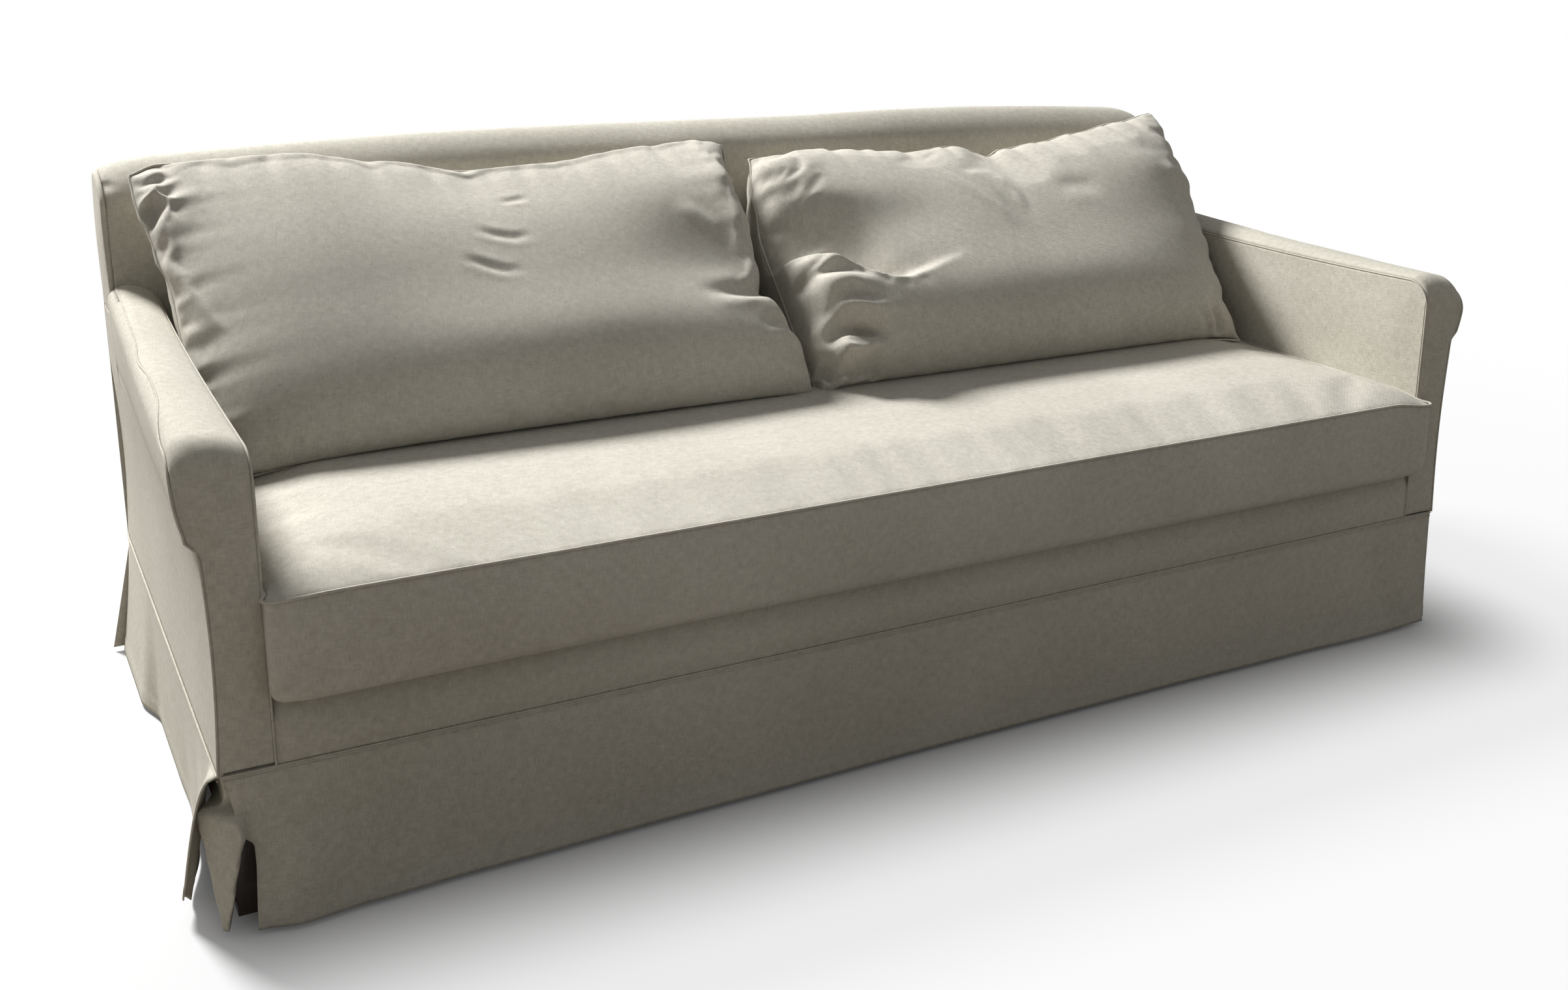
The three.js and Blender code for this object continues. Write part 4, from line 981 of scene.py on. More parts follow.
def make_filling(left_or_right):
    """The down inside: the same form, smaller all round, and as deep as the deepest fold lets it be."""
    plan = PILLOWS[left_or_right]
    centre = pillow_centre(plan["side"])
    half_x, half_z = PILLOW_WIDTH / 2, PILLOW_HEIGHT / 2

    def face_place(face, swell):
        def place(u, v):
            a, b, across, up = pillow_places(plan, u, v)
            full = fullness(plan, across, up)
            out = swell * full * (1 - SLUMP * up)
            if face > 0:
                lowest = np.minimum(fold_out(plan["folds"], a, b) + dent_out(plan["dents"], a, b), 0)
                out = out + smooth_step(full * 3.5) * lowest
            out = np.clip(out - FILL_DEPTH, 0, None)
            a = a * (1 - FILL_INSET / half_x)
            b = b * (1 - FILL_INSET / half_z)
            lump = 0.003 * np.sin(a * 41 + plan["seed"]) * np.sin(b * 57) * smooth_step(full * 2)
            points = centre + np.outer(a, [1, 0, 0]) + np.outer(b, PILLOW_UP)
            return press(points + np.outer(face * (out - np.abs(lump)), PILLOW_OUT), gap=0.006)
        return place

    return two_faced(f"down_filling_{left_or_right}", 72, 42, face_place(1, FRONT_SWELL),
                     face_place(-1, BACK_SWELL), sewn_edge=True)


def pillow_seam(left_or_right, steps=110):
    """Points along the pillow's seam, once round."""
    plan = PILLOWS[left_or_right]
    centre = pillow_centre(plan["side"])
    run = np.linspace(0, 1, steps, endpoint=False)
    zero, one = np.zeros(steps), np.ones(steps)
    u = np.concatenate([run, one, 1 - run, zero])
    v = np.concatenate([zero, run, one, 1 - run])
    a, b, _, _ = pillow_places(plan, u, v)
    return press(centre + np.outer(a, [1, 0, 0]) + np.outer(b, PILLOW_UP))


for left_or_right in PILLOWS:
    pillow = make_pillow(left_or_right)
    rim = pillow_seam(left_or_right)
    body = f"back_cushion_{left_or_right}"
    pillow_points = coordinates(pillow)
    half_turn = pillow_points @ PILLOW_OUT - pillow_centre(PILLOWS[left_or_right]["side"]) @ PILLOW_OUT
    on_seam = np.flatnonzero(np.abs(half_turn) < 0.0005)
    puff(pillow, on_seam, pressure=3.5, slack=0.006, cap=0.005)
    set_coordinates(pillow, press(coordinates(pillow)))
    finish_piece(pillow, CUSHION_LINEN, body, [f"back_cushion_cover_{left_or_right}"],
                 lean=PILLOW_LEAN)
    seam_cord(f"back_cushion_welt_{left_or_right}", rim, WELT, body, closed=True,
              material=CUSHION_LINEN)
    filling = make_filling(left_or_right)
    finish_piece(filling, TICKING, body, [f"back_cushion_fill_{left_or_right}"],
                 lean=PILLOW_LEAN)
    print(pillow.name, len(pillow.data.vertices), "points,", filling.name, len(filling.data.vertices))

# %% [markdown]
# ## The upholstered back
# The cover of the back is one wide panel: it comes up the raked front, goes over the padded camel crest
# and down behind it. Its two ends are narrow strips, and where the strip, the front and the top meet, the
# cloth stands up in a small dog-ear. A single section, drawn once and carried along the arch, makes the
# whole panel without a seam.

# %% Back cover
BACK_COLUMNS = 210
BACK_ROWS = 124
END_STRIP = 0.008
BACK_PAD = 0.040
CREST_ROOT = 0.030
FRONT_SHARE = 0.42
CREST_SHARE = 0.72
EDGE_SHARE = 0.78
EAR_PLACE = (1.081, 0.858)
EAR_SIZE = (0.012, 0.006)
EAR_DEPTH = 0.007
JOINT_PLACE = (1.086, 0.716)
JOINT_SIZE = (0.016, 0.005)
JOINT_HEIGHT = 0.004


def front_tucks(x, z):
    """The tuck under the dog-ear pulls the cloth in, and the fold above the arm pushes it out."""
    def spot(place, size):
        return np.exp(-(((np.abs(x) - place[0]) / size[0]) ** 2) - ((z - place[1]) / size[1]) ** 2)
    return EAR_DEPTH * spot(EAR_PLACE, EAR_SIZE) - JOINT_HEIGHT * spot(JOINT_PLACE, JOINT_SIZE)


def back_section(x, share):
    """A point of the closed section: the front, then the crest, its back edge, and down the inside."""
    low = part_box("back_front_pad")[0].z
    foot = crest_seat(x) - CREST_ROOT
    front_part = np.clip(share / FRONT_SHARE, 0, 1)
    front_z = low + (foot - low) * front_part
    front_y = back_face(np.minimum(front_z, CREST_FOOT)) - 0.004 * np.sin(np.pi * front_part)
    turn = np.pi * np.clip((share - FRONT_SHARE) / (CREST_SHARE - FRONT_SHARE), 0, 1)
    start = back_face(CREST_FOOT)
    middle, half = (start + BACK) / 2, (BACK - start) / 2
    crest_y = middle - half * np.cos(turn)
    crest_z = foot + (crest_top(x) - foot) * crest_rise(turn)
    y = np.where(share <= FRONT_SHARE, front_y, crest_y)
    z = np.where(share <= FRONT_SHARE, front_z, crest_z)
    y = y + front_tucks(x, z) * (share < (FRONT_SHARE + CREST_SHARE) / 2)
    edge_part = np.clip((share - CREST_SHARE) / (EDGE_SHARE - CREST_SHARE), 0, 1)
    y = np.where(share > CREST_SHARE, BACK + (start + BACK_PAD - BACK) * edge_part, y)
    z = np.where(share > CREST_SHARE, foot, z)
    down_z = foot + (low - foot) * np.clip((share - EDGE_SHARE) / (1 - EDGE_SHARE), 0, 1)
    y = np.where(share > EDGE_SHARE, back_face(np.minimum(down_z, CREST_FOOT)) + BACK_PAD, y)
    return y, np.where(share > EDGE_SHARE, down_z, z)


def back_cover_place(u, v):
    along = 0.45 * (2 * u - 1) + 0.55 * np.sin(math.pi / 2 * (2 * u - 1))
    y, z = back_section(along * (OUTER - END_STRIP), v)
    waist = POST_INNER - 0.0003
    wide = waist + (OUTER - END_STRIP - waist) * smooth_step((z - WING_FOOT + 0.002) / 0.004)
    return np.column_stack([along * wide, y, z])


def close_end(bm, outline):
    """Small faces between the two sides of an end's outline, rung by rung up to its highest point."""
    top = max(range(len(outline)), key=lambda i: outline[i].co.z)
    front, behind = outline[:top + 1], outline[:top:-1]
    while len(front) > 1 or len(behind) > 1:
        front_next = len(front) > 1 and (len(behind) < 2 or front[1].co.z <= behind[1].co.z)
        side, other = (front, behind) if front_next else (behind, front)
        bm.faces.new([side.pop(0), side[0], other[0]])


def make_back_cover():
    bm = bmesh.new()
    made = grid_into(bm, BACK_COLUMNS, BACK_ROWS, back_cover_place)
    across = BACK_COLUMNS + 1
    for left, right in zip(range(BACK_COLUMNS), range(1, across)):
        bm.faces.new([made[left], made[right], made[right - across], made[left - across]])
    close_end(bm, made[::across])
    close_end(bm, made[BACK_COLUMNS::across])
    bmesh.ops.remove_doubles(bm, verts=bm.verts, dist=0.0001)
    bmesh.ops.recalc_face_normals(bm, faces=bm.faces)
    return as_object(bm, "back_cover")


back_cover = make_back_cover()
finish_piece(back_cover, LINEN, "frame", ["back_front_pad", "back_crest_pad"], levels=0)
print("back cover", len(back_cover.data.vertices), "points")


# %% Ends of the back
STRIP_LAP = 0.0008
STRIP_WALL = 0.76
STRIP_GAP = 0.0004


def end_strip_place(side, depth):
    """The end's outline at a depth from the outer face. It laps a little over the cover beside it."""
    def place(u, v):
        x_at = OUTER - depth
        foot = crest_seat(x_at) - CREST_ROOT
        turn = np.pi * u
        wall = np.clip(v / STRIP_WALL, 0, 1)
        z_wall = WING_FOOT + (foot - WING_FOOT) * wall
        low_y = back_face(np.minimum(z_wall, CREST_FOOT)) - STRIP_LAP
        y = low_y + (BACK + STRIP_LAP * wall - low_y) * (1 - np.cos(turn)) / 2
        above = np.clip((v - STRIP_WALL) / (1 - STRIP_WALL), 0, 1)
        z = z_wall + (crest_top(x_at * side) + STRIP_LAP - foot) * crest_rise(turn) * above
        swell = 0.004 * np.sin(np.pi * u) * np.sin(np.pi * v) if depth == 0 else 0
        return np.column_stack([side * (x_at + swell + 0 * u), y, z])
    return place


for name, side in (("left", -1), ("right", 1)):
    strip = two_faced(f"back_end_{name}", 26, 74, end_strip_place(side, 0),
                      end_strip_place(side, END_STRIP - STRIP_GAP))
    finish_piece(strip, LINEN, "frame", [f"back_end_panel_{name}"], levels=0)
    print(strip.name, len(strip.data.vertices), "points")

# %% [markdown]
# ## The outside of the back
# The outside back is one flat piece of cloth that is stretched from the crest to the seam above the
# skirt. It is thin, so it is a sheet with a little thickness.


def outside_back_place(u, v):
    x = (2 * u - 1) * OUTER
    z = SEAM + (crest_seat(x) - SEAM) * v
    y = BACK - 0.0006 + 0.0022 * np.sin(np.pi * u) ** 0.5 * np.sin(np.pi * v) ** 0.5
    return np.column_stack([x, y, z])


def thicken(piece, thickness):
    wall = piece.modifiers.new("cloth_thickness", "SOLIDIFY")
    wall.thickness = thickness
    wall.offset = -1
    return piece


outside_back = one_panel("outside_back", 90, 30, outside_back_place)
finish_piece(outside_back, LINEN, "frame", ["back_outer_panel"], levels=0)
thicken(outside_back, 0.003)
print("outside back", len(outside_back.data.vertices), "points")

# %% [markdown]
# ## The arms
# Each arm has three panels. One padded band starts at the back, runs along the top, rolls over the front
# and goes down to the skirt. A flat panel closes the inside and another one the outside, where the top
# of the arm rolls outwards over a hollow neck. The band's section is drawn once and carried along the arm.

# %% Lines of the arm
ARM_FRONT_HEIGHT = 0.664
INNER_RISE = 0.018
OUTER_LIFT = 0.012
OUTER_RISE = 0.026
ROLL_OUT_FRONT = 0.025
ROLL_OUT_BACK = 0.005
ROLL_RADIUS = 0.028
CORNER = 0.045
BAND_CROWN = 0.005
INNER_ROUND = 0.006
NECK_HEIGHT = 0.545
SIDE_HOLLOW = 0.006
SEAM_LOW = math.radians(15)
SEAM_HIGH = math.radians(62)
ARM_END = back_face(ARM_FRONT_HEIGHT + INNER_RISE)
ARMS = {
    "left": {"side": -1, "inner_settle": -0.015, "outer_settle": -0.009, "neck": 0.134, "fold": 0.005,
             "front_lift": 0.0},
    "right": {"side": 1, "inner_settle": 0.005, "outer_settle": -0.003, "neck": 0.112, "fold": 0.002,
              "front_lift": 0.008},
}


def along_arm(y):
    return np.clip((y - FRONT) / (ARM_END - FRONT), 0, 1)


def inner_top(arm, y):
    t = along_arm(y)
    settled = arm["inner_settle"] * (1 - t**4) + arm["front_lift"] * (1 - t) ** 3
    return ARM_FRONT_HEIGHT + INNER_RISE * t**2.5 + settled


def outer_top(arm, y):
    t = along_arm(y)
    return ARM_FRONT_HEIGHT + OUTER_LIFT + OUTER_RISE * t**1.7 + arm["outer_settle"] * (1 - t**4)


def roll_centre(arm, y):
    out = OUTER + ROLL_OUT_FRONT + (ROLL_OUT_BACK - ROLL_OUT_FRONT) * along_arm(y)
    return out - ROLL_RADIUS, outer_top(arm, y) - ROLL_RADIUS


def side_line(z):
    """The flat side between the skirt's seam and the neck, pulled in a little by the cloth."""
    return OUTER - SIDE_HOLLOW * np.sin(np.pi * np.clip((z - SEAM) / (NECK_HEIGHT - SEAM), 0, 1))


def outer_line(arm, y, z):
    """How far out the arm reaches at a height: the roll, its curl underneath and the flat side."""
    centre_x, centre_z = roll_centre(arm, y)
    above = np.clip((z - centre_z) / ROLL_RADIUS, 0, 1)
    neck = outer_top(arm, y) - arm["neck"]
    below = np.clip((centre_z - z) / (centre_z - neck), 0, 1)
    side = side_line(z)
    bulge = centre_x + ROLL_RADIUS * np.sqrt(1 - above**2)
    tuck = side + (centre_x + ROLL_RADIUS - side) * np.sqrt(1 - below**2)
    near_front = smooth_step((FRONT + 0.16 - y) / 0.10)
    fold = arm["fold"] * np.exp(-(((z - neck - 0.004) / 0.008) ** 2)) * near_front
    return np.where(z > centre_z, bulge, tuck) + fold


def seam_turn(y):
    """The angle at which the outer seam lies on the roll: low at the front, near the top behind."""
    back_share = smooth_step((y - FRONT - 0.06) / 0.18)
    wander = math.radians(14) * np.exp(-(((y + 0.05) / 0.06) ** 2))
    return SEAM_LOW + (SEAM_HIGH - SEAM_LOW) * back_share - wander


def band_top(arm, y, t):
    """Across the band's top: from the inner seam over the crown to the outer seam on the roll."""
    centre_x = roll_centre(arm, y)[0]
    flat = np.clip(t / 0.68, 0, 1)
    turn = np.pi / 2 - (np.pi / 2 - seam_turn(y)) * np.clip((t - 0.68) / 0.32, 0, 1)
    x = INNER + (centre_x - INNER) * flat + ROLL_RADIUS * np.cos(turn)
    rise = (inner_top(arm, y) + (outer_top(arm, y) - inner_top(arm, y)) * flat
            + BAND_CROWN * np.sin(np.pi * flat))
    round_inner = INNER_ROUND * (1 - np.sqrt(1 - np.clip(1 - t / 0.10, 0, 1) ** 2))
    z = rise - round_inner - ROLL_RADIUS * (1 - np.sin(turn))
    return x, z


TOP_PART = 0.56
CORNER_PART = 0.70


def band_place(arm, s, t):
    """Along the band: first the top, then over the front corner, then the way down."""
    y_corner = FRONT + CORNER
    y_end = back_face(band_top(arm, np.full(len(s), ARM_END), t)[1]) - 0.0005
    y = y_end + (y_corner - y_end) * np.clip(s / TOP_PART, 0, 1)
    x, z = band_top(arm, y, t)
    turn = np.pi / 2 * np.clip((s - TOP_PART) / (CORNER_PART - TOP_PART), 0, 1)
    y = y - CORNER * np.sin(turn)
    z = z - CORNER * (1 - np.cos(turn))
    down = np.clip((s - CORNER_PART) / (1 - CORNER_PART), 0, 1)
    z = z + (SEAM - z) * down
    front_x = INNER + t * (outer_line(arm, np.full(len(s), FRONT), z) - INNER)
    x = x + (front_x - x) * smooth_step(turn / (np.pi / 2))
    puffed = 0.003 * np.sin(np.pi * np.clip(t, 0, 1)) * np.sqrt(np.sin(np.pi * np.clip(down, 0, 1)))
    return x, y - puffed * (down > 0), z


print("arm from y", round(FRONT, 3), "to", round(float(ARM_END), 3))


# %% Arm band
BAND_STEPS = 140
BAND_ACROSS = 22
BAND_THICKNESS = 0.020
ARM_PAD = POST_INNER - INNER
PANEL_RIM = 0.0035
RIM_WIDTH = 0.040
OUTER_PANEL = 0.0075


def make_band(name, arm):
    bm = bmesh.new()

    def place(u, v):
        x, y, z = band_place(arm, u, v)
        return np.column_stack([arm["side"] * x, y, z])

    grid_into(bm, BAND_STEPS, BAND_ACROSS, place)
    bmesh.ops.recalc_face_normals(bm, faces=bm.faces)
    high = max(bm.faces, key=lambda face: face.calc_center_median().z)
    if high.normal.z < 0:
        bmesh.ops.reverse_faces(bm, faces=bm.faces)
    bmesh.ops.solidify(bm, geom=bm.faces, thickness=BAND_THICKNESS)
    return as_object(bm, f"arm_band_cover_{name}")


def corner_drop(y):
    """How far a seam has come down where it goes round the front corner."""
    into = np.clip((FRONT + CORNER - y) / CORNER, 0, 1)
    return CORNER * (1 - np.sqrt(1 - into**2))


def inner_panel_place(arm, is_face):
    def place(u, v):
        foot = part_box("arm_inner_pad_right")[0].z
        y_front = FRONT + 0.004
        eased = 1 - (1 - u) ** 1.5
        y_flat = ARM_END + (y_front - ARM_END) * eased
        edge = inner_top(arm, y_flat) - corner_drop(y_flat)
        z = foot + (edge - INNER_ROUND - foot) * v
        y = y_flat + (back_face(z) - 0.0005 - ARM_END) * (1 - eased)
        rim = np.minimum(edge - z, y_flat - y_front)
        deep = PANEL_RIM + (ARM_PAD - 0.0003 - PANEL_RIM) * smooth_step((rim - RIM_WIDTH) / 0.006)
        puffed = 0.003 * smooth_step(rim / 0.08) * smooth_step((z - CUSHION_HIGH.z) / 0.08)
        x = INNER - puffed if is_face else INNER + deep
        return np.column_stack([arm["side"] * x, y, z])
    return place


def outer_panel_place(arm, is_face):
    def place(u, v):
        y_back = BACK - 0.0085
        y = y_back + (FRONT + 0.001 - y_back) * u
        behind = y > ARM_END
        centre_z = roll_centre(arm, y)[1]
        top = centre_z + ROLL_RADIUS * np.sin(seam_turn(y)) - corner_drop(y)
        top = np.where(behind, WING_FOOT - 0.0005, top)
        z = SEAM + (top - SEAM) * v
        x = np.where(behind, side_line(z), outer_line(arm, y, z))
        if not is_face:
            flat_part = smooth_step((outer_top(arm, y) - arm["neck"] - z) / 0.02)
            x = x - 0.003 - (OUTER_PANEL - 0.003) * np.where(behind, 1, flat_part)
            x = np.maximum(x, WOOD_OUTER + 0.0004)
        return np.column_stack([arm["side"] * x, y, z])
    return place


def arm_seam(arm, t, steps=100):
    s = np.linspace(0, 1, steps)
    x, y, z = band_place(arm, s, np.full(steps, float(t)))
    return np.column_stack([arm["side"] * x, y, z])


SEAM_CORD = 0.0016
for name, arm in ARMS.items():
    band = make_band(name, arm)
    finish_piece(band, LINEN, "frame", [f"arm_band_{name}"])
    inner = two_faced(f"arm_inner_cover_{name}", 110, 60, inner_panel_place(arm, True),
                      inner_panel_place(arm, False))
    finish_piece(inner, LINEN, "frame", [f"arm_inner_pad_{name}"], levels=0)
    outer = two_faced(f"arm_outer_cover_{name}", 140, 80, outer_panel_place(arm, True),
                      outer_panel_place(arm, False))
    finish_piece(outer, LINEN, "frame", [f"arm_outer_panel_{name}"], levels=0)
    seam_cord(f"arm_inner_seam_{name}", arm_seam(arm, 0), SEAM_CORD, "frame")
    seam_cord(f"arm_outer_seam_{name}", arm_seam(arm, 1), SEAM_CORD, "frame")
print("arms", BAND_STEPS * BAND_ACROSS, "faces in each band's top")

# %% [markdown]
# ## The front border
# Between the arms a padded strip covers the front rail, from the seam above the skirt up to the deck.

# %% Front border
BORDER_EDGE = 0.046
BORDER_DEPTH = 0.030
BORDER_SWELL = 0.007


def border_place(depth):
    def place(u, v):
        x = (2 * u - 1) * (INNER - 0.0003 - depth * 0.02)
        rise = np.clip(v / 0.6, 0, 1)
        turn = np.pi / 2 * np.clip((v - 0.6) / 0.4, 0, 1)
        z = SEAM + (DECK - BORDER_EDGE - SEAM) * rise + (BORDER_EDGE - depth) * np.sin(turn)
        y = FRONT + depth + (BORDER_DEPTH - depth) * (1 - np.cos(turn)) ** 0.7
        swell = BORDER_SWELL * np.sin(np.pi * rise) * np.sin(np.pi * np.clip(u, 0, 1)) ** 0.3
        return np.column_stack([x, y - (swell if depth == 0 else 0), z])
    return place


border = two_faced("front_border_cover", 120, 24, border_place(0), border_place(0.008))
finish_piece(border, LINEN, "frame", ["front_border"], levels=0)

# %% [markdown]
# ## The skirt
# Four straight lengths of cloth hang from the seam nearly to the floor. They are cut flat, flare a little,
# and wave more the longer they are held only at the top. Behind each corner slit an extra folded piece
# keeps the feet out of sight. Cloth this thin is a sheet: a grid with a small thickness and a hem.

# %% Skirt panels
SKIRT_CLOTH = 0.002
HEM_TURN = 0.024
SLIT = 0.004
SKIRT_BEND = 1.3
CURL_LENGTH = 0.10
CURL_LIFT = 0.5


def skirt_place(start, end, out, hem, curl=(SKIRT_BEND, SKIRT_BEND), slide=((0, 0), (0, 0)), heights=(0, 1),
                relief=()):
    """A hanging length of cloth. Hem is how far its lower edge stands out at places along it, curl how
    early each end starts to stand out, and slide how far each end moves inwards at some heights.
    Relief is a list of soft dents and bulges: where, how large and how deep each one is."""
    start, end, out = (np.array(x, float) for x in (start, end, out))
    length = np.linalg.norm(end - start)

    def place(u, v):
        z = HEM + (SEAM - 0.0003 - HEM) * v
        near_start = smooth_step(1 - u * length / CURL_LENGTH)
        near_end = smooth_step(1 - (1 - u) * length / CURL_LENGTH)
        power = SKIRT_BEND + (curl[0] - SKIRT_BEND) * near_start + (curl[1] - SKIRT_BEND) * near_end
        reach = along_line(*zip(*hem), u) * (1 - v) ** power
        hem_step = 0.0008 * smooth_step((HEM + HEM_TURN - z) / 0.003)
        for (centre_u, centre_v), (wide, high), depth in relief:
            reach = reach + depth * np.exp(-(((u - centre_u) / wide) ** 2) - ((v - centre_v) / high) ** 2)
        moved = near_start * np.interp(v, heights, slide[0]) - near_end * np.interp(v, heights, slide[1])
        points = start + np.outer(u, end - start) + np.outer(moved / length, end - start)
        points = points + np.outer(reach + hem_step, out)
        lifted = near_end * max(curl[1] < 1, 0) * CURL_LIFT * np.interp(v, heights, slide[1])
        points[:, 2] = z + lifted * (1 - v)
        return points
    return place


SKIRTS = {
    "front": {"start": (-OUTER + SLIT, FRONT, 0), "end": (OUTER - SLIT, FRONT, 0), "out": (0, -1, 0),
              "hem": [(0, 0.020), (0.035, 0.031), (0.08, 0.022), (0.15, 0.015), (0.3, 0.010), (0.5, 0.004),
                      (0.7, 0.005), (0.85, 0.010), (0.93, 0.016), (1, 0.012)],
              "relief": [((0.045, 0.34), (0.018, 0.22), 0.007), ((0.062, 0.62), (0.016, 0.12), -0.005),
                         ((0.10, 0.45), (0.02, 0.20), -0.003), ((0.90, 0.50), (0.020, 0.30), 0.004),
                         ((0.935, 0.55), (0.014, 0.25), -0.005), ((0.97, 0.35), (0.015, 0.20), 0.004)],
              "slide": ((0.026, 0.032, 0.032, 0.018, 0.002), (0.004, 0.003, 0.002, 0.001, 0)),
              "heights": (0, 0.4, 0.54, 0.60, 1)},
    "back": {"start": (OUTER - SLIT, BACK, 0), "end": (-OUTER + SLIT, BACK, 0), "out": (0, 1, 0),
             "hem": [(0, 0.014), (0.15, 0.018), (0.4, 0.011), (0.65, 0.016), (0.9, 0.011), (1, 0.016)],
             "slide": ((0, 0), (-0.046, 0))},
    "left": {"start": (-OUTER, BACK - SLIT, 0), "end": (-OUTER, FRONT + SLIT, 0), "out": (-1, 0, 0),
             "hem": [(0, 0.026), (0.24, 0.024), (0.33, 0.004), (0.55, 0.003), (0.64, 0.001), (0.78, 0.010),
                     (0.92, 0.038), (1, 0.050)],
             "curl": (SKIRT_BEND, 0.36), "slide": ((0, 0), (0.050, 0))},
    "right": {"start": (OUTER, FRONT + SLIT, 0), "end": (OUTER, BACK - SLIT, 0), "out": (1, 0, 0),
              "hem": [(0, 0.012), (0.08, 0.010), (0.3, 0.022), (0.5, 0.010), (0.7, 0.020), (0.9, 0.012),
                      (1, 0.018)]},
}
for name, plan in SKIRTS.items():
    columns = 170 if name in ("front", "back") else 96
    panel = one_panel(f"skirt_panel_{name}", columns, 40, skirt_place(**plan))
    finish_piece(panel, LINEN, "frame", [f"skirt_{name}"], levels=0)
    thicken(panel, SKIRT_CLOTH)
    top = np.array([Vector(plan["start"]).lerp(Vector(plan["end"]), i / 60) for i in range(61)])
    top[:, 2] = SEAM - 0.001
    seam_cord(f"skirt_seam_{name}", top + np.array(plan["out"]) * 0.0012, 0.0014, "frame")
    top[:, 2] = SEAM - 0.008
    seam_cord(f"skirt_stitch_{name}", top + np.array(plan["out"]) * 0.0008, 0.0009, "frame")

# %% Folded inserts
PLEAT_WIDTH = 0.110
PLEAT_LIFT = 0.014
PLEAT_CLOTH = 0.0015


def pleat_place(side, edge, inward):
    corner_x = OUTER - SKIRT_CLOTH - 0.0016
    corner_y = edge + inward * (SKIRT_CLOTH + 0.0016)

    def place(u, v):
        z = HEM + PLEAT_LIFT + (SEAM - 0.0003 - HEM - PLEAT_LIFT) * v
        along_front = np.clip(1 - 2 * u, 0, 1) * PLEAT_WIDTH
        along_side = np.clip(2 * u - 1, 0, 1) * PLEAT_WIDTH
        x = corner_x - along_front
        y = corner_y + inward * along_side
        wave = 0.004 * np.sin(np.pi * 5 * u) * (1 - v) ** 1.3
        return np.column_stack([side * (x - np.abs(wave)), y + inward * np.abs(wave), z])
    return place


# The insert at the front left has slipped out of its slit. Its plan is drawn at a few heights.
OPEN_HEIGHTS = (0.012, 0.070, 0.105, 0.145, 0.164, 0.174, 0.196, 0.225)
OPEN_PLANS = (
    ((-1.070, -0.385), (-1.097, -0.494), (-1.102, -0.488), (-1.094, -0.440), (-1.088, -0.385)),
    ((-1.064, -0.395), (-1.088, -0.503), (-1.107, -0.463), (-1.095, -0.430), (-1.088, -0.389)),
    ((-1.055, -0.412), (-1.081, -0.505), (-1.110, -0.450), (-1.096, -0.425), (-1.087, -0.393)),
    ((-1.040, -0.430), (-1.072, -0.504), (-1.115, -0.447), (-1.098, -0.425), (-1.086, -0.400)),
    ((-1.034, -0.440), (-1.074, -0.497), (-1.117, -0.446), (-1.096, -0.420), (-1.085, -0.390)),
    ((-1.020, -0.472), (-1.050, -0.474), (-1.085, -0.458), (-1.084, -0.410), (-1.084, -0.370)),
    ((-0.995, -0.474), (-1.036, -0.475), (-1.084, -0.474), (-1.086, -0.415), (-1.086, -0.368)),
    ((-0.978, -0.4764), (-1.033, -0.4764), (-1.0880, -0.4764), (-1.0880, -0.420), (-1.0880, -0.366)),
)


def open_pleat_place(u, v):
    corners = np.linspace(0, 1, len(OPEN_PLANS[0]))
    z = OPEN_HEIGHTS[0] + (SEAM - 0.0003 - OPEN_HEIGHTS[0]) * v
    lines = [np.column_stack([np.interp(u, corners, [p[axis] for p in plan]) for axis in (0, 1)])
             for plan in OPEN_PLANS]
    level = np.interp(z, OPEN_HEIGHTS, range(len(OPEN_HEIGHTS)))
    below = np.clip(level.astype(int), 0, len(lines) - 2)
    share = smooth_step(level - below)[:, None]
    stack = np.array(lines)
    rows = np.arange(len(u))
    flat = stack[below, rows] * (1 - share) + stack[below + 1, rows] * share
    return np.column_stack([flat, z])


for front_or_back, edge, inward in (("front", FRONT, 1), ("back", BACK, -1)):
    for name, side in (("left", -1), ("right", 1)):
        is_open = (front_or_back, name) == ("front", "left")
        drawn = open_pleat_place if is_open else pleat_place(side, edge, inward)
        pleat = one_panel(f"pleat_{front_or_back}_{name}", 64, 44, drawn)
        finish_piece(pleat, LINEN, "frame", [f"pleat_insert_{front_or_back}_{name}"], levels=0)
        thicken(pleat, PLEAT_CLOTH)
        print(pleat.name, len(pleat.data.vertices), "points")
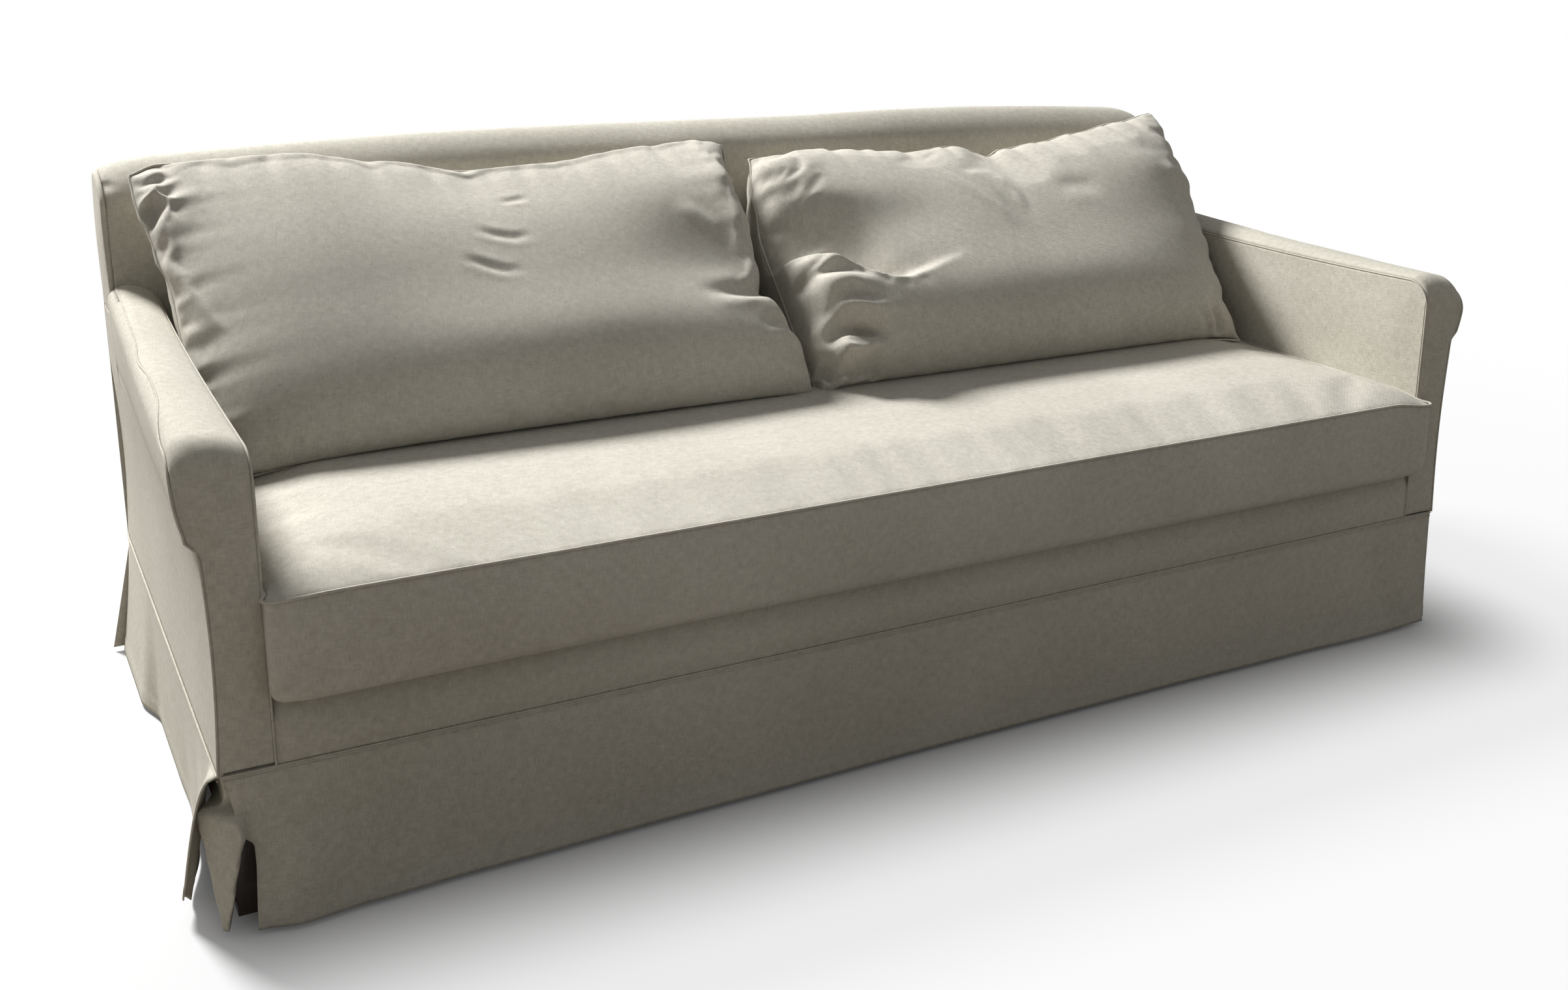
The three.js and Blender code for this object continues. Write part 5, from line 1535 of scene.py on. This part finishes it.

# %% [markdown]
# ## Pieces inside the sofa
# What lies under the covers is seen only when a cushion is lifted or the sofa is turned over: the deck,
# the foam core, the down filling, the sheet behind the back's padding and the thin cloth underneath.
# The deck and the foam core are the CAD solids, softened. The two sheets are plain copies of theirs, and
# the down filling is drawn with the back cushions.

# %% Inner pieces
def softened(name, node, voxel, rounds):
    """A copy of a CAD solid with rounded edges."""
    bm = bmesh.new()
    bm.from_mesh(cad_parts[node].data)
    bmesh.ops.remove_doubles(bm, verts=bm.verts, dist=0.00005)
    piece = as_object(bm, name)
    remesh = piece.modifiers.new("even_faces", "REMESH")
    remesh.mode = "VOXEL"
    remesh.voxel_size = voxel
    bpy.context.view_layer.update()
    mesh = bpy.data.meshes.new_from_object(piece.evaluated_get(bpy.context.evaluated_depsgraph_get()))
    old = piece.data
    piece.modifiers.clear()
    piece.data = mesh
    bpy.data.meshes.remove(old)
    mesh.name = name
    mesh.materials.clear()
    bm = bmesh.new()
    bm.from_mesh(mesh)
    for _ in range(rounds):
        bmesh.ops.smooth_vert(bm, verts=bm.verts, factor=0.5, use_axis_x=True, use_axis_y=True,
                              use_axis_z=True)
    bm.to_mesh(mesh)
    bm.free()
    return piece


INNER_PIECES = {
    "seat_deck_cover": ("seat_deck", 0.010, 2, LINING, "lining", "frame"),
    "seat_core": ("seat_cushion_core", 0.010, 2, FOAM, "foam", "seat_cushion"),
}
for name, (node, voxel, rounds, material, slot, body) in INNER_PIECES.items():
    inner_piece = softened(name, node, voxel, rounds)
    finish_piece(inner_piece, material, body, [node], levels=0)
    print(name, len(inner_piece.data.vertices), "points")


def thin_copy(name, node, material):
    bm = bmesh.new()
    bm.from_mesh(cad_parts[node].data)
    bmesh.ops.remove_doubles(bm, verts=bm.verts, dist=0.00005)
    piece = as_object(bm, name)
    piece.data.materials.clear()
    finish_piece(piece, material, "frame", [node], levels=0)
    piece.data.polygons.foreach_set("use_smooth", [False] * len(piece.data.polygons))


thin_copy("dust_cloth", "dust_sheet", DUST_CLOTH)
thin_copy("back_support", "back_support_sheet", LINING)

# %% [markdown]
# ## Frame, feet and springs
# The hard parts keep the shapes that the CAD model gave them. Each board gets wood whose grain runs along
# its longest side.

# %% Finishes of the hard parts
for node_name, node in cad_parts.items():
    if node.hide_render:
        continue
    low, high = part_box(node_name)
    longest = max(range(3), key=lambda axis: (high - low)[axis])
    if node_name.startswith("leg_"):
        finish = STAINED
    elif node_name.startswith("seat_spring"):
        finish = WIRE
    else:
        finish = HARDWOOD[longest]
    for place in node.material_slots:
        place.material = finish
print("hard nodes", sum(not node.hide_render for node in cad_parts.values()))

# %% [markdown]
# ## Size
# The visual model must stay as large as the CAD model, apart from a little that cloth may stand proud.
# The box of the visual model is printed here.

# %% Print the visual model's box
low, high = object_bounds()
print("visual box", [round(x, 3) for x in (*low, *high)])
